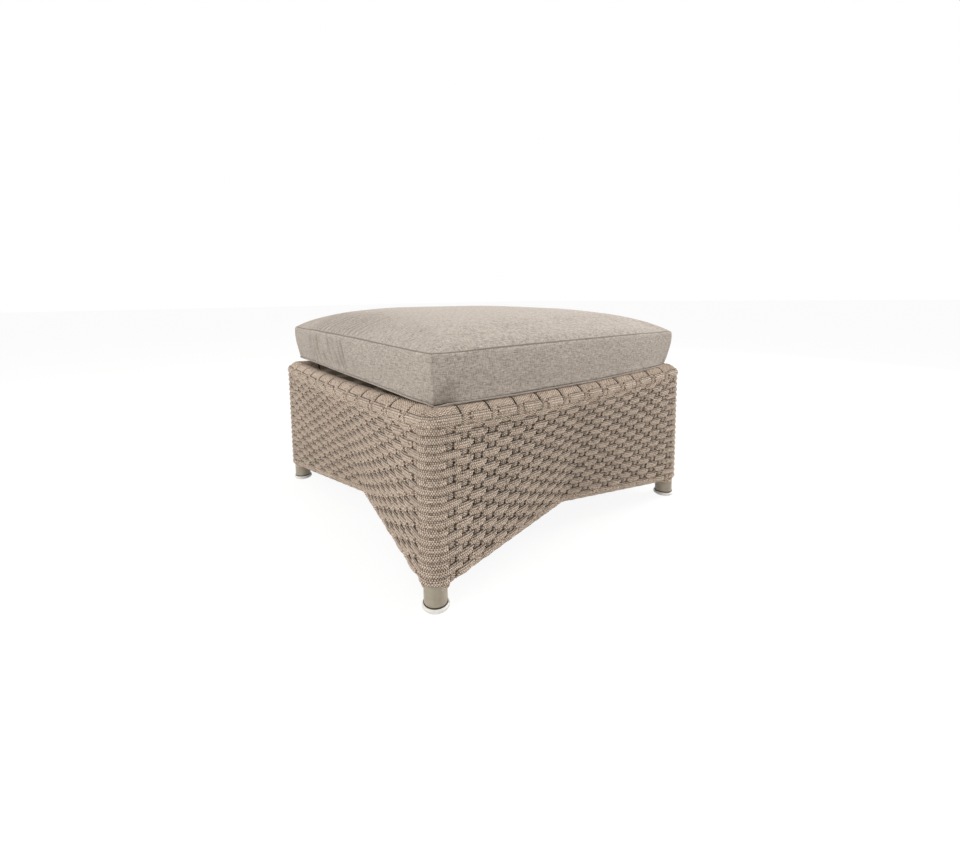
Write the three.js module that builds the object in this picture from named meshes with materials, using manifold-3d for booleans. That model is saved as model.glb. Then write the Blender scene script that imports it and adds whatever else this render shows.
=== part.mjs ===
// Outdoor ottoman footstool: a welded aluminium tube frame dressed in flat woven rope, with a loose box cushion.
// Units are millimetres. The origin is on the floor under the middle of the square, +Z up, and the front faces -Y.
import * as THREE from 'three';
import { mergeVertices } from 'three/addons/utils/BufferGeometryUtils.js';
import Module from 'manifold-3d';

const wasm = await Module();
wasm.setup();

// Driving dimensions of the whole stool
const OVERALL_WIDTH = 600;
const FRAME_TOP = 271;
const FIT_GAP = 0.3;
const CUT_OVERRUN = 5;

// Frame tube and rope
const TUBE_DIAMETER = 32;
const TUBE_WALL = 2;
const CORNER_EASE = 4;
const CORNER_REACH = 26;
const ROPE_THICKNESS = 4.2;
const LEG_HEADROOM = 8;
const WRAP_START_HEIGHT = 34;

// Lower bars, bent inwards and upwards at the middle of each side
const BAR_DIAMETER = 12;
const BAR_ROPE_THICKNESS = 3.5;
const BAR_END_HEIGHT = 44;
const BAR_RISE = 16;
const BAR_END_INSET = 14.5;
const BAR_PULL_IN = 42;

// Woven skirt
const SKIRT_THICKNESS = 8;
const SKIRT_TOP_DROP = 30;
const SKIRT_END_INSET = 28;
const SKIRT_FOOT_RISE = 6;

// Seat slats
const SLAT_COUNT = 5;
const SLAT_PITCH_SHARE = 0.14;
const SLAT_WIDTH = 30;
const SLAT_DEPTH = 15;
const SLAT_WALL = 1.5;
const SLAT_TOP_DROP = 13;

// Floor glides
const PAD_RADIUS = 18.6;
const PAD_HEIGHT = 6;
const PAD_EDGE = 1.5;
const PAD_STUD_RADIUS = 5;
const PAD_STUD_LENGTH = 8;
const PLUG_FLANGE_OVERHANG = 0.7;
const PLUG_FLANGE_HEIGHT = 1.2;
const PLUG_LENGTH = 22;

// Cushion
const CUSHION_SETBACK = 15;
const CUSHION_CORNER_RADIUS = 28;
const CUSHION_BAND_HEIGHT = 65;
const CUSHION_CROWN = 48;
const CUSHION_BULGE = 4;
const CUSHION_DRAW_IN = 3;
const FABRIC_THICKNESS = 2;
const FOAM_HEIGHT = 60;
const WELT_RADIUS = 1.8;

// Zip on the back of the cushion
const ZIP_END_INSET = 70;
const ZIP_TAPE_WIDTH = 26;
const ZIP_TAPE_THICKNESS = 1;
const ZIP_COIL_WIDTH = 5;
const ZIP_COIL_THICKNESS = 1.6;
const SLIDER_LENGTH = 11;
const SLIDER_WIDTH = 9;
const SLIDER_BASE = 2;
const SLIDER_LUG_WIDTH = 1.8;
const SLIDER_LUG_LENGTH = 4;
const SLIDER_PARKING = 12;
const PULL_PIN_RADIUS = 0.8;
const PULL_EYE_WALL = 1.2;
const PULL_LENGTH = 26;
const PULL_WIDTH = 4;
const PULL_THICKNESS = 1.4;

// Facets and steps
const TUBE_SIDES = 16;
const LEG_SIDES = 32;
const CORNER_SIDES = 24;
const SKIRT_COLUMNS = 12;
const SKIRT_ROWS = 4;
const GLIDE_SIDES = 24;
const BAND_ROWS = 4;
const WELT_SIDES = 6;
const PIN_SIDES = 12;

// Sizes that follow from the ones above
const TUBE_RADIUS = TUBE_DIAMETER / 2;
const WRAP_INNER = TUBE_RADIUS + FIT_GAP;
const WRAP_OUTER = WRAP_INNER + ROPE_THICKNESS;
const HALF_WIDTH = OVERALL_WIDTH / 2;
const RAIL_OFFSET = HALF_WIDTH - WRAP_OUTER;
const RAIL_HEIGHT = FRAME_TOP - WRAP_OUTER;
const CORNER_CENTRE = RAIL_OFFSET - CORNER_EASE;
const RAIL_END = RAIL_OFFSET - CORNER_REACH;
const LEG_TOP = RAIL_HEIGHT - LEG_HEADROOM;
const TUBE_FOOT = PAD_HEIGHT + FIT_GAP + PLUG_FLANGE_HEIGHT + FIT_GAP;
const BAR_RADIUS = BAR_DIAMETER / 2;
const BAR_WRAP_INNER = BAR_RADIUS + FIT_GAP;
const BAR_WRAP_OUTER = BAR_WRAP_INNER + BAR_ROPE_THICKNESS;
const BAR_END_OFFSET = HALF_WIDTH - BAR_END_INSET;
const BAR_MIDDLE_OFFSET = BAR_END_OFFSET - BAR_PULL_IN;
const BAR_MIDDLE_HEIGHT = BAR_END_HEIGHT + BAR_RISE;
const CUSHION_FOOT = FRAME_TOP + FIT_GAP;
const BAND_FOOT = CUSHION_FOOT + FABRIC_THICKNESS + FIT_GAP;
const SEAM_HEIGHT = BAND_FOOT + CUSHION_BAND_HEIGHT;
const FOAM_FOOT = BAND_FOOT;
const FOAM_TOP = FOAM_FOOT + FOAM_HEIGHT;
const CUSHION_HALF = HALF_WIDTH - CUSHION_SETBACK;
const ZIP_LENGTH = 2 * (CUSHION_HALF - ZIP_END_INSET);
const SLAT_PITCH = OVERALL_WIDTH * SLAT_PITCH_SHARE;

const SIDE_NAMES = ['front', 'right', 'back', 'left'];
const CORNER_NAMES = ['front_left', 'front_right', 'back_right', 'back_left'];
const QUARTER_TURN = Math.PI / 2;

const finish = (color, roughness, metalness) => new THREE.MeshStandardMaterial({ color, roughness, metalness });
const MATERIALS = {
  powderCoat: () => finish(0xaaa08f, 0.5, 0.25),
  rope: () => finish(0xa89583, 0.95, 0),
  whitePlastic: () => finish(0xe9e6e0, 0.4, 0),
  darkPlastic: () => finish(0x4a4640, 0.55, 0),
  cushionFabric: () => finish(0xb3a99b, 0.95, 0),
  filling: () => finish(0xe8e2d2, 0.9, 0),
  zipTape: () => finish(0x8f8578, 0.9, 0),
  zipMetal: () => finish(0x77716a, 0.4, 0.9),
};

const stool = new THREE.Group();

function addPiece(name, geometry, material, turn = 0) {
  const mesh = new THREE.Mesh(geometry, material());
  mesh.name = name;
  mesh.rotation.z = turn;
  stool.add(mesh);
}

// Solids and cuts

function weld(geometry) {
  const bare = geometry.clone();
  bare.deleteAttribute('normal');
  bare.deleteAttribute('uv');
  return mergeVertices(bare);
}

function toSolid(geometry) {
  const welded = weld(geometry);
  return new wasm.Manifold(new wasm.Mesh({
    numProp: 3,
    vertProperties: new Float32Array(welded.attributes.position.array),
    triVerts: new Uint32Array(welded.index.array),
  }));
}

function toGeometry(solid) {
  const mesh = solid.getMesh();
  const geometry = new THREE.BufferGeometry();
  geometry.setAttribute('position', new THREE.BufferAttribute(mesh.vertProperties, 3));
  geometry.setIndex(new THREE.BufferAttribute(mesh.triVerts, 1));
  geometry.computeVertexNormals();
  return geometry;
}

function cut(geometry, cutters) {
  let solid = toSolid(geometry);
  for (const cutter of cutters) {
    solid = solid.subtract(toSolid(cutter));
  }
  return toGeometry(solid);
}

function join(geometries) {
  const [first, ...rest] = geometries.map(toSolid);
  return toGeometry(rest.reduce((whole, part) => whole.add(part), first));
}

function circlePoints(radius, sides) {
  const points = [];
  for (let i = 0; i < sides; i += 1) {
    const angle = (2 * Math.PI * i) / sides;
    points.push(new THREE.Vector2(radius * Math.cos(angle), radius * Math.sin(angle)));
  }
  return points;
}

function discShape(radius, sides) {
  return new THREE.Shape(circlePoints(radius, sides));
}

function ringShape(outer, inner, sides) {
  const shape = discShape(outer, sides);
  shape.holes.push(new THREE.Path(circlePoints(inner, sides).reverse()));
  return shape;
}

function sweep(shape, path, steps) {
  return weld(new THREE.ExtrudeGeometry(shape, { steps, extrudePath: path, curveSegments: 1 }));
}

function post(shape, x, y, foot, top) {
  const geometry = new THREE.ExtrudeGeometry(shape, { depth: top - foot, bevelEnabled: false, curveSegments: 1 });
  geometry.translate(x, y, foot);
  return weld(geometry);
}

function box(width, depth, height, x, y, z) {
  const geometry = new THREE.BoxGeometry(width, depth, height);
  geometry.translate(x, y, z);
  return weld(geometry);
}

function indexedGeometry(points, triangles) {
  const geometry = new THREE.BufferGeometry();
  geometry.setAttribute('position', new THREE.Float32BufferAttribute(points.flatMap((p) => [p.x, p.y, p.z]), 3));
  geometry.setIndex(triangles);
  geometry.computeVertexNormals();
  return geometry;
}

// A sheet with a front and a back face over one grid, closed round its rim. The front face looks along +w where
// u runs to the right and v runs up.
function closedSheet(uValues, vValues, frontPoint, backPoint) {
  const columns = uValues.length;
  const rows = vValues.length;
  const points = [];
  for (const place of [frontPoint, backPoint]) {
    for (const v of vValues) {
      for (const u of uValues) {
        points.push(place(u, v));
      }
    }
  }
  const back = columns * rows;
  const at = (i, j) => j * columns + i;
  const triangles = [];
  for (let j = 0; j < rows - 1; j += 1) {
    for (let i = 0; i < columns - 1; i += 1) {
      const [a, b, c, d] = [at(i, j), at(i + 1, j), at(i + 1, j + 1), at(i, j + 1)];
      triangles.push(a, b, c, a, c, d);
      triangles.push(back + a, back + c, back + b, back + a, back + d, back + c);
    }
  }
  const rim = [];
  for (let i = 0; i < columns - 1; i += 1) rim.push(at(i, 0));
  for (let j = 0; j < rows - 1; j += 1) rim.push(at(columns - 1, j));
  for (let i = columns - 1; i > 0; i -= 1) rim.push(at(i, rows - 1));
  for (let j = rows - 1; j > 0; j -= 1) rim.push(at(0, j));
  rim.forEach((a, k) => {
    const b = rim[(k + 1) % rim.length];
    triangles.push(a, back + a, back + b, a, back + b, b);
  });
  return indexedGeometry(points, triangles);
}

// A closed hoop: every station on the loop carries the same closed section, wound clockwise seen along the loop.
function closedHoop(stations, sectionPoint, sectionCount) {
  const points = [];
  for (const station of stations) {
    for (let k = 0; k < sectionCount; k += 1) {
      points.push(sectionPoint(station, k));
    }
  }
  const triangles = [];
  for (let s = 0; s < stations.length; s += 1) {
    const next = (s + 1) % stations.length;
    for (let k = 0; k < sectionCount; k += 1) {
      const m = (k + 1) % sectionCount;
      const [a, b] = [s * sectionCount + k, next * sectionCount + k];
      const [c, d] = [next * sectionCount + m, s * sectionCount + m];
      triangles.push(a, b, c, a, c, d);
    }
  }
  return indexedGeometry(points, triangles);
}

// Paths of the frame, drawn for the front side and the front left corner

function railPath(start, end) {
  return new THREE.LineCurve3(
    new THREE.Vector3(start, -RAIL_OFFSET, RAIL_HEIGHT),
    new THREE.Vector3(end, -RAIL_OFFSET, RAIL_HEIGHT),
  );
}

function barPath() {
  const start = new THREE.Vector3(-RAIL_OFFSET, -BAR_END_OFFSET, BAR_END_HEIGHT);
  const middle = new THREE.Vector3(0, -BAR_MIDDLE_OFFSET, BAR_MIDDLE_HEIGHT);
  const end = new THREE.Vector3(RAIL_OFFSET, -BAR_END_OFFSET, BAR_END_HEIGHT);
  const path = new THREE.CurvePath();
  path.add(new THREE.LineCurve3(start, middle));
  path.add(new THREE.LineCurve3(middle, end));
  return path;
}

function barShare(x) {
  return 1 - Math.abs(x) / RAIL_OFFSET;
}

// The two short ends of rail that meet over a leg, with the outside of the corner rounded between them. The rounding
// is the rail's section turned about an upright axis that stands in from the leg by the corner's ease.
function cornerBody(radius, reach) {
  const end = RAIL_OFFSET - reach;
  const frontStub = sweep(discShape(radius, TUBE_SIDES), railPath(-CORNER_CENTRE, -end), 1);
  const leftStub = frontStub.clone().rotateZ(QUARTER_TURN).scale(-1, 1, 1);
  leftStub.setIndex([...leftStub.index.array].reverse());
  const halfSides = TUBE_SIDES / 2;
  const poleHeight = Math.sqrt(radius ** 2 - CORNER_EASE ** 2);
  const profile = circlePoints(radius, TUBE_SIDES)
    .map((point, i, ring) => ring[(i + halfSides) % TUBE_SIDES])
    .filter((point) => point.x > -FIT_GAP)
    .map((point) => new THREE.Vector2(CORNER_EASE + point.x, point.y));
  profile.unshift(new THREE.Vector2(0, -poleHeight));
  profile.push(new THREE.Vector2(0, poleHeight));
  const knuckle = new THREE.LatheGeometry(profile, CORNER_SIDES);
  knuckle.rotateX(QUARTER_TURN);
  knuckle.translate(-CORNER_CENTRE, -CORNER_CENTRE, RAIL_HEIGHT);
  const size = HALF_WIDTH;
  const middle = -CORNER_CENTRE - size / 2;
  const outerQuarter = toSolid(knuckle).intersect(toSolid(box(size, size, size, middle, middle, RAIL_HEIGHT)));
  return join([frontStub, leftStub, toGeometry(outerQuarter)]);
}

// Frame

function legCutters(radius, signs, top = FRAME_TOP + CUT_OVERRUN) {
  const shape = discShape(radius, LEG_SIDES);
  return signs.map((sign) => post(shape, sign * RAIL_OFFSET, -RAIL_OFFSET, -CUT_OVERRUN, top));
}

function topRail() {
  const tube = ringShape(TUBE_RADIUS, TUBE_RADIUS - TUBE_WALL, TUBE_SIDES);
  return sweep(tube, railPath(FIT_GAP - RAIL_END, RAIL_END - FIT_GAP), 1);
}

function cornerElbow() {
  const bore = cornerBody(TUBE_RADIUS - TUBE_WALL, CORNER_REACH + CUT_OVERRUN);
  return cut(cornerBody(TUBE_RADIUS, CORNER_REACH), [bore]);
}

function leg() {
  const tube = ringShape(TUBE_RADIUS, TUBE_RADIUS - TUBE_WALL, LEG_SIDES);
  const elbow = cornerBody(TUBE_RADIUS + FIT_GAP, CORNER_REACH);
  return cut(post(tube, -RAIL_OFFSET, -RAIL_OFFSET, TUBE_FOOT, LEG_TOP), [elbow]);
}

function lowerBar() {
  const bar = sweep(discShape(BAR_RADIUS, TUBE_SIDES), barPath(), 2);
  return cut(bar, legCutters(TUBE_RADIUS + FIT_GAP, [-1, 1]));
}

function seatSlat(y) {
  const half = RAIL_OFFSET - WRAP_OUTER - FIT_GAP;
  const shape = new THREE.Shape([
    new THREE.Vector2(-SLAT_WIDTH / 2, -SLAT_DEPTH / 2),
    new THREE.Vector2(SLAT_WIDTH / 2, -SLAT_DEPTH / 2),
    new THREE.Vector2(SLAT_WIDTH / 2, SLAT_DEPTH / 2),
    new THREE.Vector2(-SLAT_WIDTH / 2, SLAT_DEPTH / 2),
  ]);
  const bore = shape.getPoints().map((p) => new THREE.Vector2(
    p.x - Math.sign(p.x) * SLAT_WALL,
    p.y - Math.sign(p.y) * SLAT_WALL,
  ));
  shape.holes.push(new THREE.Path(bore.reverse()));
  const geometry = new THREE.ExtrudeGeometry(shape, { depth: 2 * half, bevelEnabled: false });
  geometry.translate(0, 0, -half);
  geometry.rotateX(QUARTER_TURN);
  geometry.rotateZ(QUARTER_TURN);
  geometry.translate(0, y, FRAME_TOP - SLAT_TOP_DROP - SLAT_DEPTH / 2);
  return weld(geometry);
}

// Rope

function railWrap() {
  const sleeve = ringShape(WRAP_OUTER, WRAP_INNER, TUBE_SIDES);
  return sweep(sleeve, railPath(FIT_GAP - RAIL_END, RAIL_END - FIT_GAP), 1);
}

function cornerWrap() {
  const room = cornerBody(WRAP_INNER, CORNER_REACH + CUT_OVERRUN);
  const legHole = legCutters(TUBE_RADIUS + FIT_GAP, [-1], LEG_TOP + FIT_GAP);
  return cut(cornerBody(WRAP_OUTER, CORNER_REACH), [room, ...legHole]);
}

function legWrap() {
  const sleeve = post(ringShape(WRAP_OUTER, WRAP_INNER, LEG_SIDES), -RAIL_OFFSET, -RAIL_OFFSET,
    WRAP_START_HEIGHT, LEG_TOP);
  const corner = cornerBody(WRAP_OUTER + FIT_GAP, CORNER_REACH);
  const frontBar = sweep(discShape(BAR_WRAP_INNER, TUBE_SIDES), barPath(), 2);
  const leftBar = frontBar.clone().rotateZ(-QUARTER_TURN);
  return cut(sleeve, [corner, frontBar, leftBar]);
}

function barWrap() {
  const sleeve = sweep(ringShape(BAR_WRAP_OUTER, BAR_WRAP_INNER, TUBE_SIDES), barPath(), 2);
  return cut(sleeve, legCutters(WRAP_OUTER + FIT_GAP, [-1, 1]));
}

function skirtPoint(u, v, depth) {
  const x = u * (HALF_WIDTH - SKIRT_END_INSET);
  const share = barShare(x);
  const slant = Math.hypot(BAR_PULL_IN, RAIL_OFFSET) / RAIL_OFFSET;
  const foot = new THREE.Vector3(
    x,
    -(BAR_END_OFFSET - BAR_PULL_IN * share + BAR_WRAP_OUTER * slant),
    BAR_END_HEIGHT + BAR_RISE * share + SKIRT_FOOT_RISE,
  );
  const head = new THREE.Vector3(x, -HALF_WIDTH, FRAME_TOP - SKIRT_TOP_DROP);
  const point = foot.lerp(head, v);
  point.y += depth;
  return point;
}

function skirtPanel() {
  const uValues = Array.from({ length: SKIRT_COLUMNS + 1 }, (_, i) => (2 * i) / SKIRT_COLUMNS - 1);
  const vValues = Array.from({ length: SKIRT_ROWS + 1 }, (_, j) => j / SKIRT_ROWS);
  const sheet = closedSheet(
    uValues,
    vValues,
    (u, v) => skirtPoint(u, v, 0),
    (u, v) => skirtPoint(u, v, SKIRT_THICKNESS),
  );
  const rail = sweep(discShape(WRAP_OUTER + FIT_GAP, TUBE_SIDES), railPath(-HALF_WIDTH, HALF_WIDTH), 1);
  const bar = sweep(discShape(BAR_WRAP_OUTER + FIT_GAP, TUBE_SIDES), barPath(), 2);
  return cut(sheet, [rail, bar, ...legCutters(WRAP_OUTER + FIT_GAP, [-1, 1])]);
}

// Floor glides

function glidePad() {
  const waist = PAD_RADIUS - PAD_EDGE;
  const profile = [
    [0, 0],
    [waist, 0],
    [PAD_RADIUS, PAD_EDGE],
    [PAD_RADIUS, PAD_HEIGHT - PAD_EDGE],
    [waist, PAD_HEIGHT],
    [PAD_STUD_RADIUS, PAD_HEIGHT],
    [PAD_STUD_RADIUS, PAD_HEIGHT + PAD_STUD_LENGTH],
    [0, PAD_HEIGHT + PAD_STUD_LENGTH],
  ];
  return turned(profile);
}

function glidePlug() {
  const foot = PAD_HEIGHT + FIT_GAP;
  const shoulder = foot + PLUG_FLANGE_HEIGHT;
  const spigot = TUBE_RADIUS - TUBE_WALL - FIT_GAP;
  const bore = PAD_STUD_RADIUS + FIT_GAP;
  const boreTop = PAD_HEIGHT + PAD_STUD_LENGTH + FIT_GAP;
  const profile = [
    [0, boreTop],
    [bore, boreTop],
    [bore, foot],
    [TUBE_RADIUS + PLUG_FLANGE_OVERHANG, foot],
    [TUBE_RADIUS + PLUG_FLANGE_OVERHANG, shoulder],
    [spigot, shoulder],
    [spigot, shoulder + PLUG_LENGTH],
    [0, shoulder + PLUG_LENGTH],
  ];
  return turned(profile);
}

function turned(profile) {
  const points = profile.map(([radius, height]) => new THREE.Vector2(radius, height));
  const geometry = new THREE.LatheGeometry(points, GLIDE_SIDES);
  geometry.rotateX(QUARTER_TURN);
  geometry.translate(-RAIL_OFFSET, -RAIL_OFFSET, 0);
  return weld(geometry);
}

// Cushion

// Grid lines of the cushion's panels, from the middle of a side to its corner
const CUSHION_LINE_SHARES = [0, 0.25, 0.5, 0.76, 0.902, 0.951, 1];
const CROWN_POWER = 2.6;
const CROWN_FULLNESS_SHARE = 0.75;

function mirroredLines() {
  const negative = CUSHION_LINE_SHARES.slice(1).reverse().map((share) => -share);
  return [...negative, ...CUSHION_LINE_SHARES];
}

// One point on the cushion's outline, for a border point of the unit square, with its outward direction
function outlinePoint(u, v, half) {
  const radius = CUSHION_CORNER_RADIUS - (CUSHION_HALF - half);
  const straight = half - radius;
  const alongX = Math.abs(v) > Math.abs(u);
  const run = Math.min(Math.abs(u), Math.abs(v)) * half;
  const turn = run > straight ? ((run - straight) / radius) * (Math.PI / 4) : 0;
  const flareStart = CUSHION_LINE_SHARES[3] * half;
  const flare = Math.min(Math.max((run - flareStart) / (straight - flareStart), 0), 1);
  const pull = CUSHION_DRAW_IN * (1 - flare);
  const along = run > straight ? straight + radius * Math.sin(turn) : run;
  const across = run > straight ? straight + radius * Math.cos(turn) : half - pull;
  const point = alongX
    ? new THREE.Vector2(Math.sign(u) * along, Math.sign(v) * across)
    : new THREE.Vector2(Math.sign(u) * across, Math.sign(v) * along);
  const outward = alongX
    ? new THREE.Vector2(Math.sign(u) * Math.sin(turn), Math.sign(v) * Math.cos(turn))
    : new THREE.Vector2(Math.sign(u) * Math.cos(turn), Math.sign(v) * Math.sin(turn));
  return { point, outward };
}

function planPoint(u, v, half) {
  const reach = Math.max(Math.abs(u), Math.abs(v));
  if (reach === 0) return new THREE.Vector2(0, 0);
  return outlinePoint(u / reach, v / reach, half).point.multiplyScalar(reach);
}

function crownShare(u, v) {
  const dome = (1 - Math.abs(u) ** CROWN_POWER) * (1 - Math.abs(v) ** CROWN_POWER);
  return Math.max(dome, 0) ** CROWN_FULLNESS_SHARE;
}

function crownedPoint(u, v, half, foot, crown) {
  const plan = planPoint(u, v, half);
  return new THREE.Vector3(plan.x, plan.y, foot + crown * crownShare(u, v));
}

function flatPoint(u, v, half, height) {
  const plan = planPoint(u, v, half);
  return new THREE.Vector3(plan.x, plan.y, height);
}

function outlineLoop(half) {
  const lines = mirroredLines();
  const last = lines.length - 1;
  const loop = [];
  for (let i = 0; i < last; i += 1) loop.push(outlinePoint(lines[i], -1, half));
  for (let i = 0; i < last; i += 1) loop.push(outlinePoint(1, lines[i], half));
  for (let i = 0; i < last; i += 1) loop.push(outlinePoint(-lines[i], 1, half));
  for (let i = 0; i < last; i += 1) loop.push(outlinePoint(-1, -lines[i], half));
  return loop;
}

function topPanel() {
  const lines = mirroredLines();
  return closedSheet(
    lines,
    lines,
    (u, v) => crownedPoint(u, v, CUSHION_HALF, SEAM_HEIGHT + FABRIC_THICKNESS, CUSHION_CROWN),
    (u, v) => crownedPoint(u, v, CUSHION_HALF, SEAM_HEIGHT, CUSHION_CROWN),
  );
}

function fibrePad() {
  const lines = mirroredLines();
  const half = CUSHION_HALF - FABRIC_THICKNESS - FIT_GAP;
  const foot = FOAM_TOP + FIT_GAP;
  return closedSheet(
    lines,
    lines,
    (u, v) => crownedPoint(u, v, half, SEAM_HEIGHT - FIT_GAP, CUSHION_CROWN),
    (u, v) => flatPoint(u, v, half, foot),
  );
}

function outlineSlab(half, foot, top) {
  const shape = new THREE.Shape(outlineLoop(half).map(({ point }) => point));
  return post(shape, 0, 0, foot, top);
}

function sideBand() {
  const top = SEAM_HEIGHT - FIT_GAP;
  const section = [];
  for (let row = 0; row <= BAND_ROWS; row += 1) section.push({ share: row / BAND_ROWS, inset: 0 });
  for (let row = BAND_ROWS; row >= 0; row -= 1) section.push({ share: row / BAND_ROWS, inset: FABRIC_THICKNESS });
  return closedHoop(outlineLoop(CUSHION_HALF), ({ point, outward }, k) => {
    const { share, inset } = section[k];
    const swell = CUSHION_BULGE * Math.sin(Math.PI * share) - inset;
    return new THREE.Vector3(
      point.x + outward.x * swell,
      point.y + outward.y * swell,
      BAND_FOOT + (top - BAND_FOOT) * share,
    );
  }, section.length);
}

function bottomWelt() {
  const reach = WELT_RADIUS + FIT_GAP;
  const section = circlePoints(WELT_RADIUS, WELT_SIDES);
  return closedHoop(outlineLoop(CUSHION_HALF), ({ point, outward }, k) => new THREE.Vector3(
    point.x + outward.x * (reach + section[k].x),
    point.y + outward.y * (reach + section[k].x),
    CUSHION_FOOT + WELT_RADIUS + section[k].y,
  ), WELT_SIDES);
}

// Zip, with its tape standing on the fullest line of the back band

const ZIP_HEIGHT = BAND_FOOT + CUSHION_BAND_HEIGHT / 2;
const ZIP_FACE = CUSHION_HALF - CUSHION_DRAW_IN + CUSHION_BULGE + FIT_GAP;
const COIL_FACE = ZIP_FACE + ZIP_TAPE_THICKNESS + ZIP_COIL_THICKNESS;
const SLIDER_FACE = COIL_FACE + FIT_GAP;
const SLIDER_X = ZIP_LENGTH / 2 - SLIDER_PARKING;
const PULL_EYE_INNER = PULL_PIN_RADIUS + FIT_GAP;
const PULL_EYE_OUTER = PULL_EYE_INNER + PULL_EYE_WALL;
const PULL_PIN_Y = SLIDER_FACE + SLIDER_BASE + FIT_GAP + PULL_EYE_OUTER;

function zipTape() {
  const tapeY = ZIP_FACE + ZIP_TAPE_THICKNESS / 2;
  const coilDepth = ZIP_TAPE_THICKNESS + ZIP_COIL_THICKNESS;
  return join([
    box(ZIP_LENGTH, ZIP_TAPE_THICKNESS, ZIP_TAPE_WIDTH, 0, tapeY, ZIP_HEIGHT),
    box(ZIP_LENGTH - SLIDER_LENGTH, coilDepth, ZIP_COIL_WIDTH, 0, ZIP_FACE + coilDepth / 2, ZIP_HEIGHT),
  ]);
}

function pinAt(radius, length) {
  return post(discShape(radius, PIN_SIDES), SLIDER_X, PULL_PIN_Y, ZIP_HEIGHT - length / 2, ZIP_HEIGHT + length / 2);
}

function zipSlider() {
  const lugHeight = PULL_PIN_Y + PULL_EYE_INNER - SLIDER_FACE;
  const lugOffset = PULL_WIDTH / 2 + FIT_GAP + SLIDER_LUG_WIDTH / 2;
  const lugY = SLIDER_FACE + lugHeight / 2;
  const base = box(SLIDER_LENGTH, SLIDER_BASE, SLIDER_WIDTH, SLIDER_X, SLIDER_FACE + SLIDER_BASE / 2, ZIP_HEIGHT);
  const lugs = [-lugOffset, lugOffset].map((offset) => box(
    SLIDER_LUG_LENGTH,
    lugHeight,
    SLIDER_LUG_WIDTH,
    SLIDER_X,
    lugY,
    ZIP_HEIGHT + offset,
  ));
  return join([base, ...lugs, pinAt(PULL_PIN_RADIUS, 2 * lugOffset)]);
}

function zipPull() {
  const tab = box(PULL_LENGTH, PULL_THICKNESS, PULL_WIDTH, SLIDER_X - PULL_LENGTH / 2, PULL_PIN_Y, ZIP_HEIGHT);
  const eye = pinAt(PULL_EYE_OUTER, PULL_WIDTH);
  return cut(join([tab, eye]), [pinAt(PULL_EYE_INNER, PULL_WIDTH + CUT_OVERRUN)]);
}

// Assembly

SIDE_NAMES.forEach((side, k) => {
  const turn = k * QUARTER_TURN;
  addPiece(`top_rail_${side}`, topRail(), MATERIALS.powderCoat, turn);
  addPiece(`lower_bar_${side}`, lowerBar(), MATERIALS.powderCoat, turn);
  addPiece(`rail_wrap_${side}`, railWrap(), MATERIALS.rope, turn);
  addPiece(`lower_bar_wrap_${side}`, barWrap(), MATERIALS.rope, turn);
  addPiece(`woven_skirt_${side}`, skirtPanel(), MATERIALS.rope, turn);
});

CORNER_NAMES.forEach((corner, k) => {
  const turn = k * QUARTER_TURN;
  addPiece(`corner_elbow_${corner}`, cornerElbow(), MATERIALS.powderCoat, turn);
  addPiece(`leg_${corner}`, leg(), MATERIALS.powderCoat, turn);
  addPiece(`corner_wrap_${corner}`, cornerWrap(), MATERIALS.rope, turn);
  addPiece(`leg_wrap_${corner}`, legWrap(), MATERIALS.rope, turn);
  addPiece(`glide_plug_${corner}`, glidePlug(), MATERIALS.darkPlastic, turn);
  addPiece(`glide_pad_${corner}`, glidePad(), MATERIALS.whitePlastic, turn);
});

for (let i = 0; i < SLAT_COUNT; i += 1) {
  const y = (i - (SLAT_COUNT - 1) / 2) * SLAT_PITCH;
  addPiece(`seat_slat_${i + 1}`, seatSlat(y), MATERIALS.powderCoat);
}

const foamHalf = CUSHION_HALF - FABRIC_THICKNESS - FIT_GAP;
addPiece('cushion_foam', outlineSlab(foamHalf, FOAM_FOOT, FOAM_TOP), MATERIALS.filling);
addPiece('cushion_fibre_pad', fibrePad(), MATERIALS.filling);
addPiece('cushion_top_panel', topPanel(), MATERIALS.cushionFabric);
addPiece('cushion_side_band', sideBand(), MATERIALS.cushionFabric);
const bottomPanel = outlineSlab(CUSHION_HALF, CUSHION_FOOT, CUSHION_FOOT + FABRIC_THICKNESS);
addPiece('cushion_bottom_panel', bottomPanel, MATERIALS.cushionFabric);
addPiece('cushion_bottom_welt', bottomWelt(), MATERIALS.cushionFabric);
addPiece('zip_tape', zipTape(), MATERIALS.zipTape);
addPiece('zip_slider', zipSlider(), MATERIALS.zipMetal);
addPiece('zip_pull', zipPull(), MATERIALS.zipMetal);

export default stool;
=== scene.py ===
"""Outdoor ottoman footstool: a woven rope frame on four legs with a loose crowned cushion."""

from __future__ import annotations

import logging
import math
from dataclasses import dataclass, field
from enum import Enum
from typing import Callable, Mapping, Union

import bmesh
import bpy
import numpy as np
from mathutils import Matrix, Vector, noise


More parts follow.
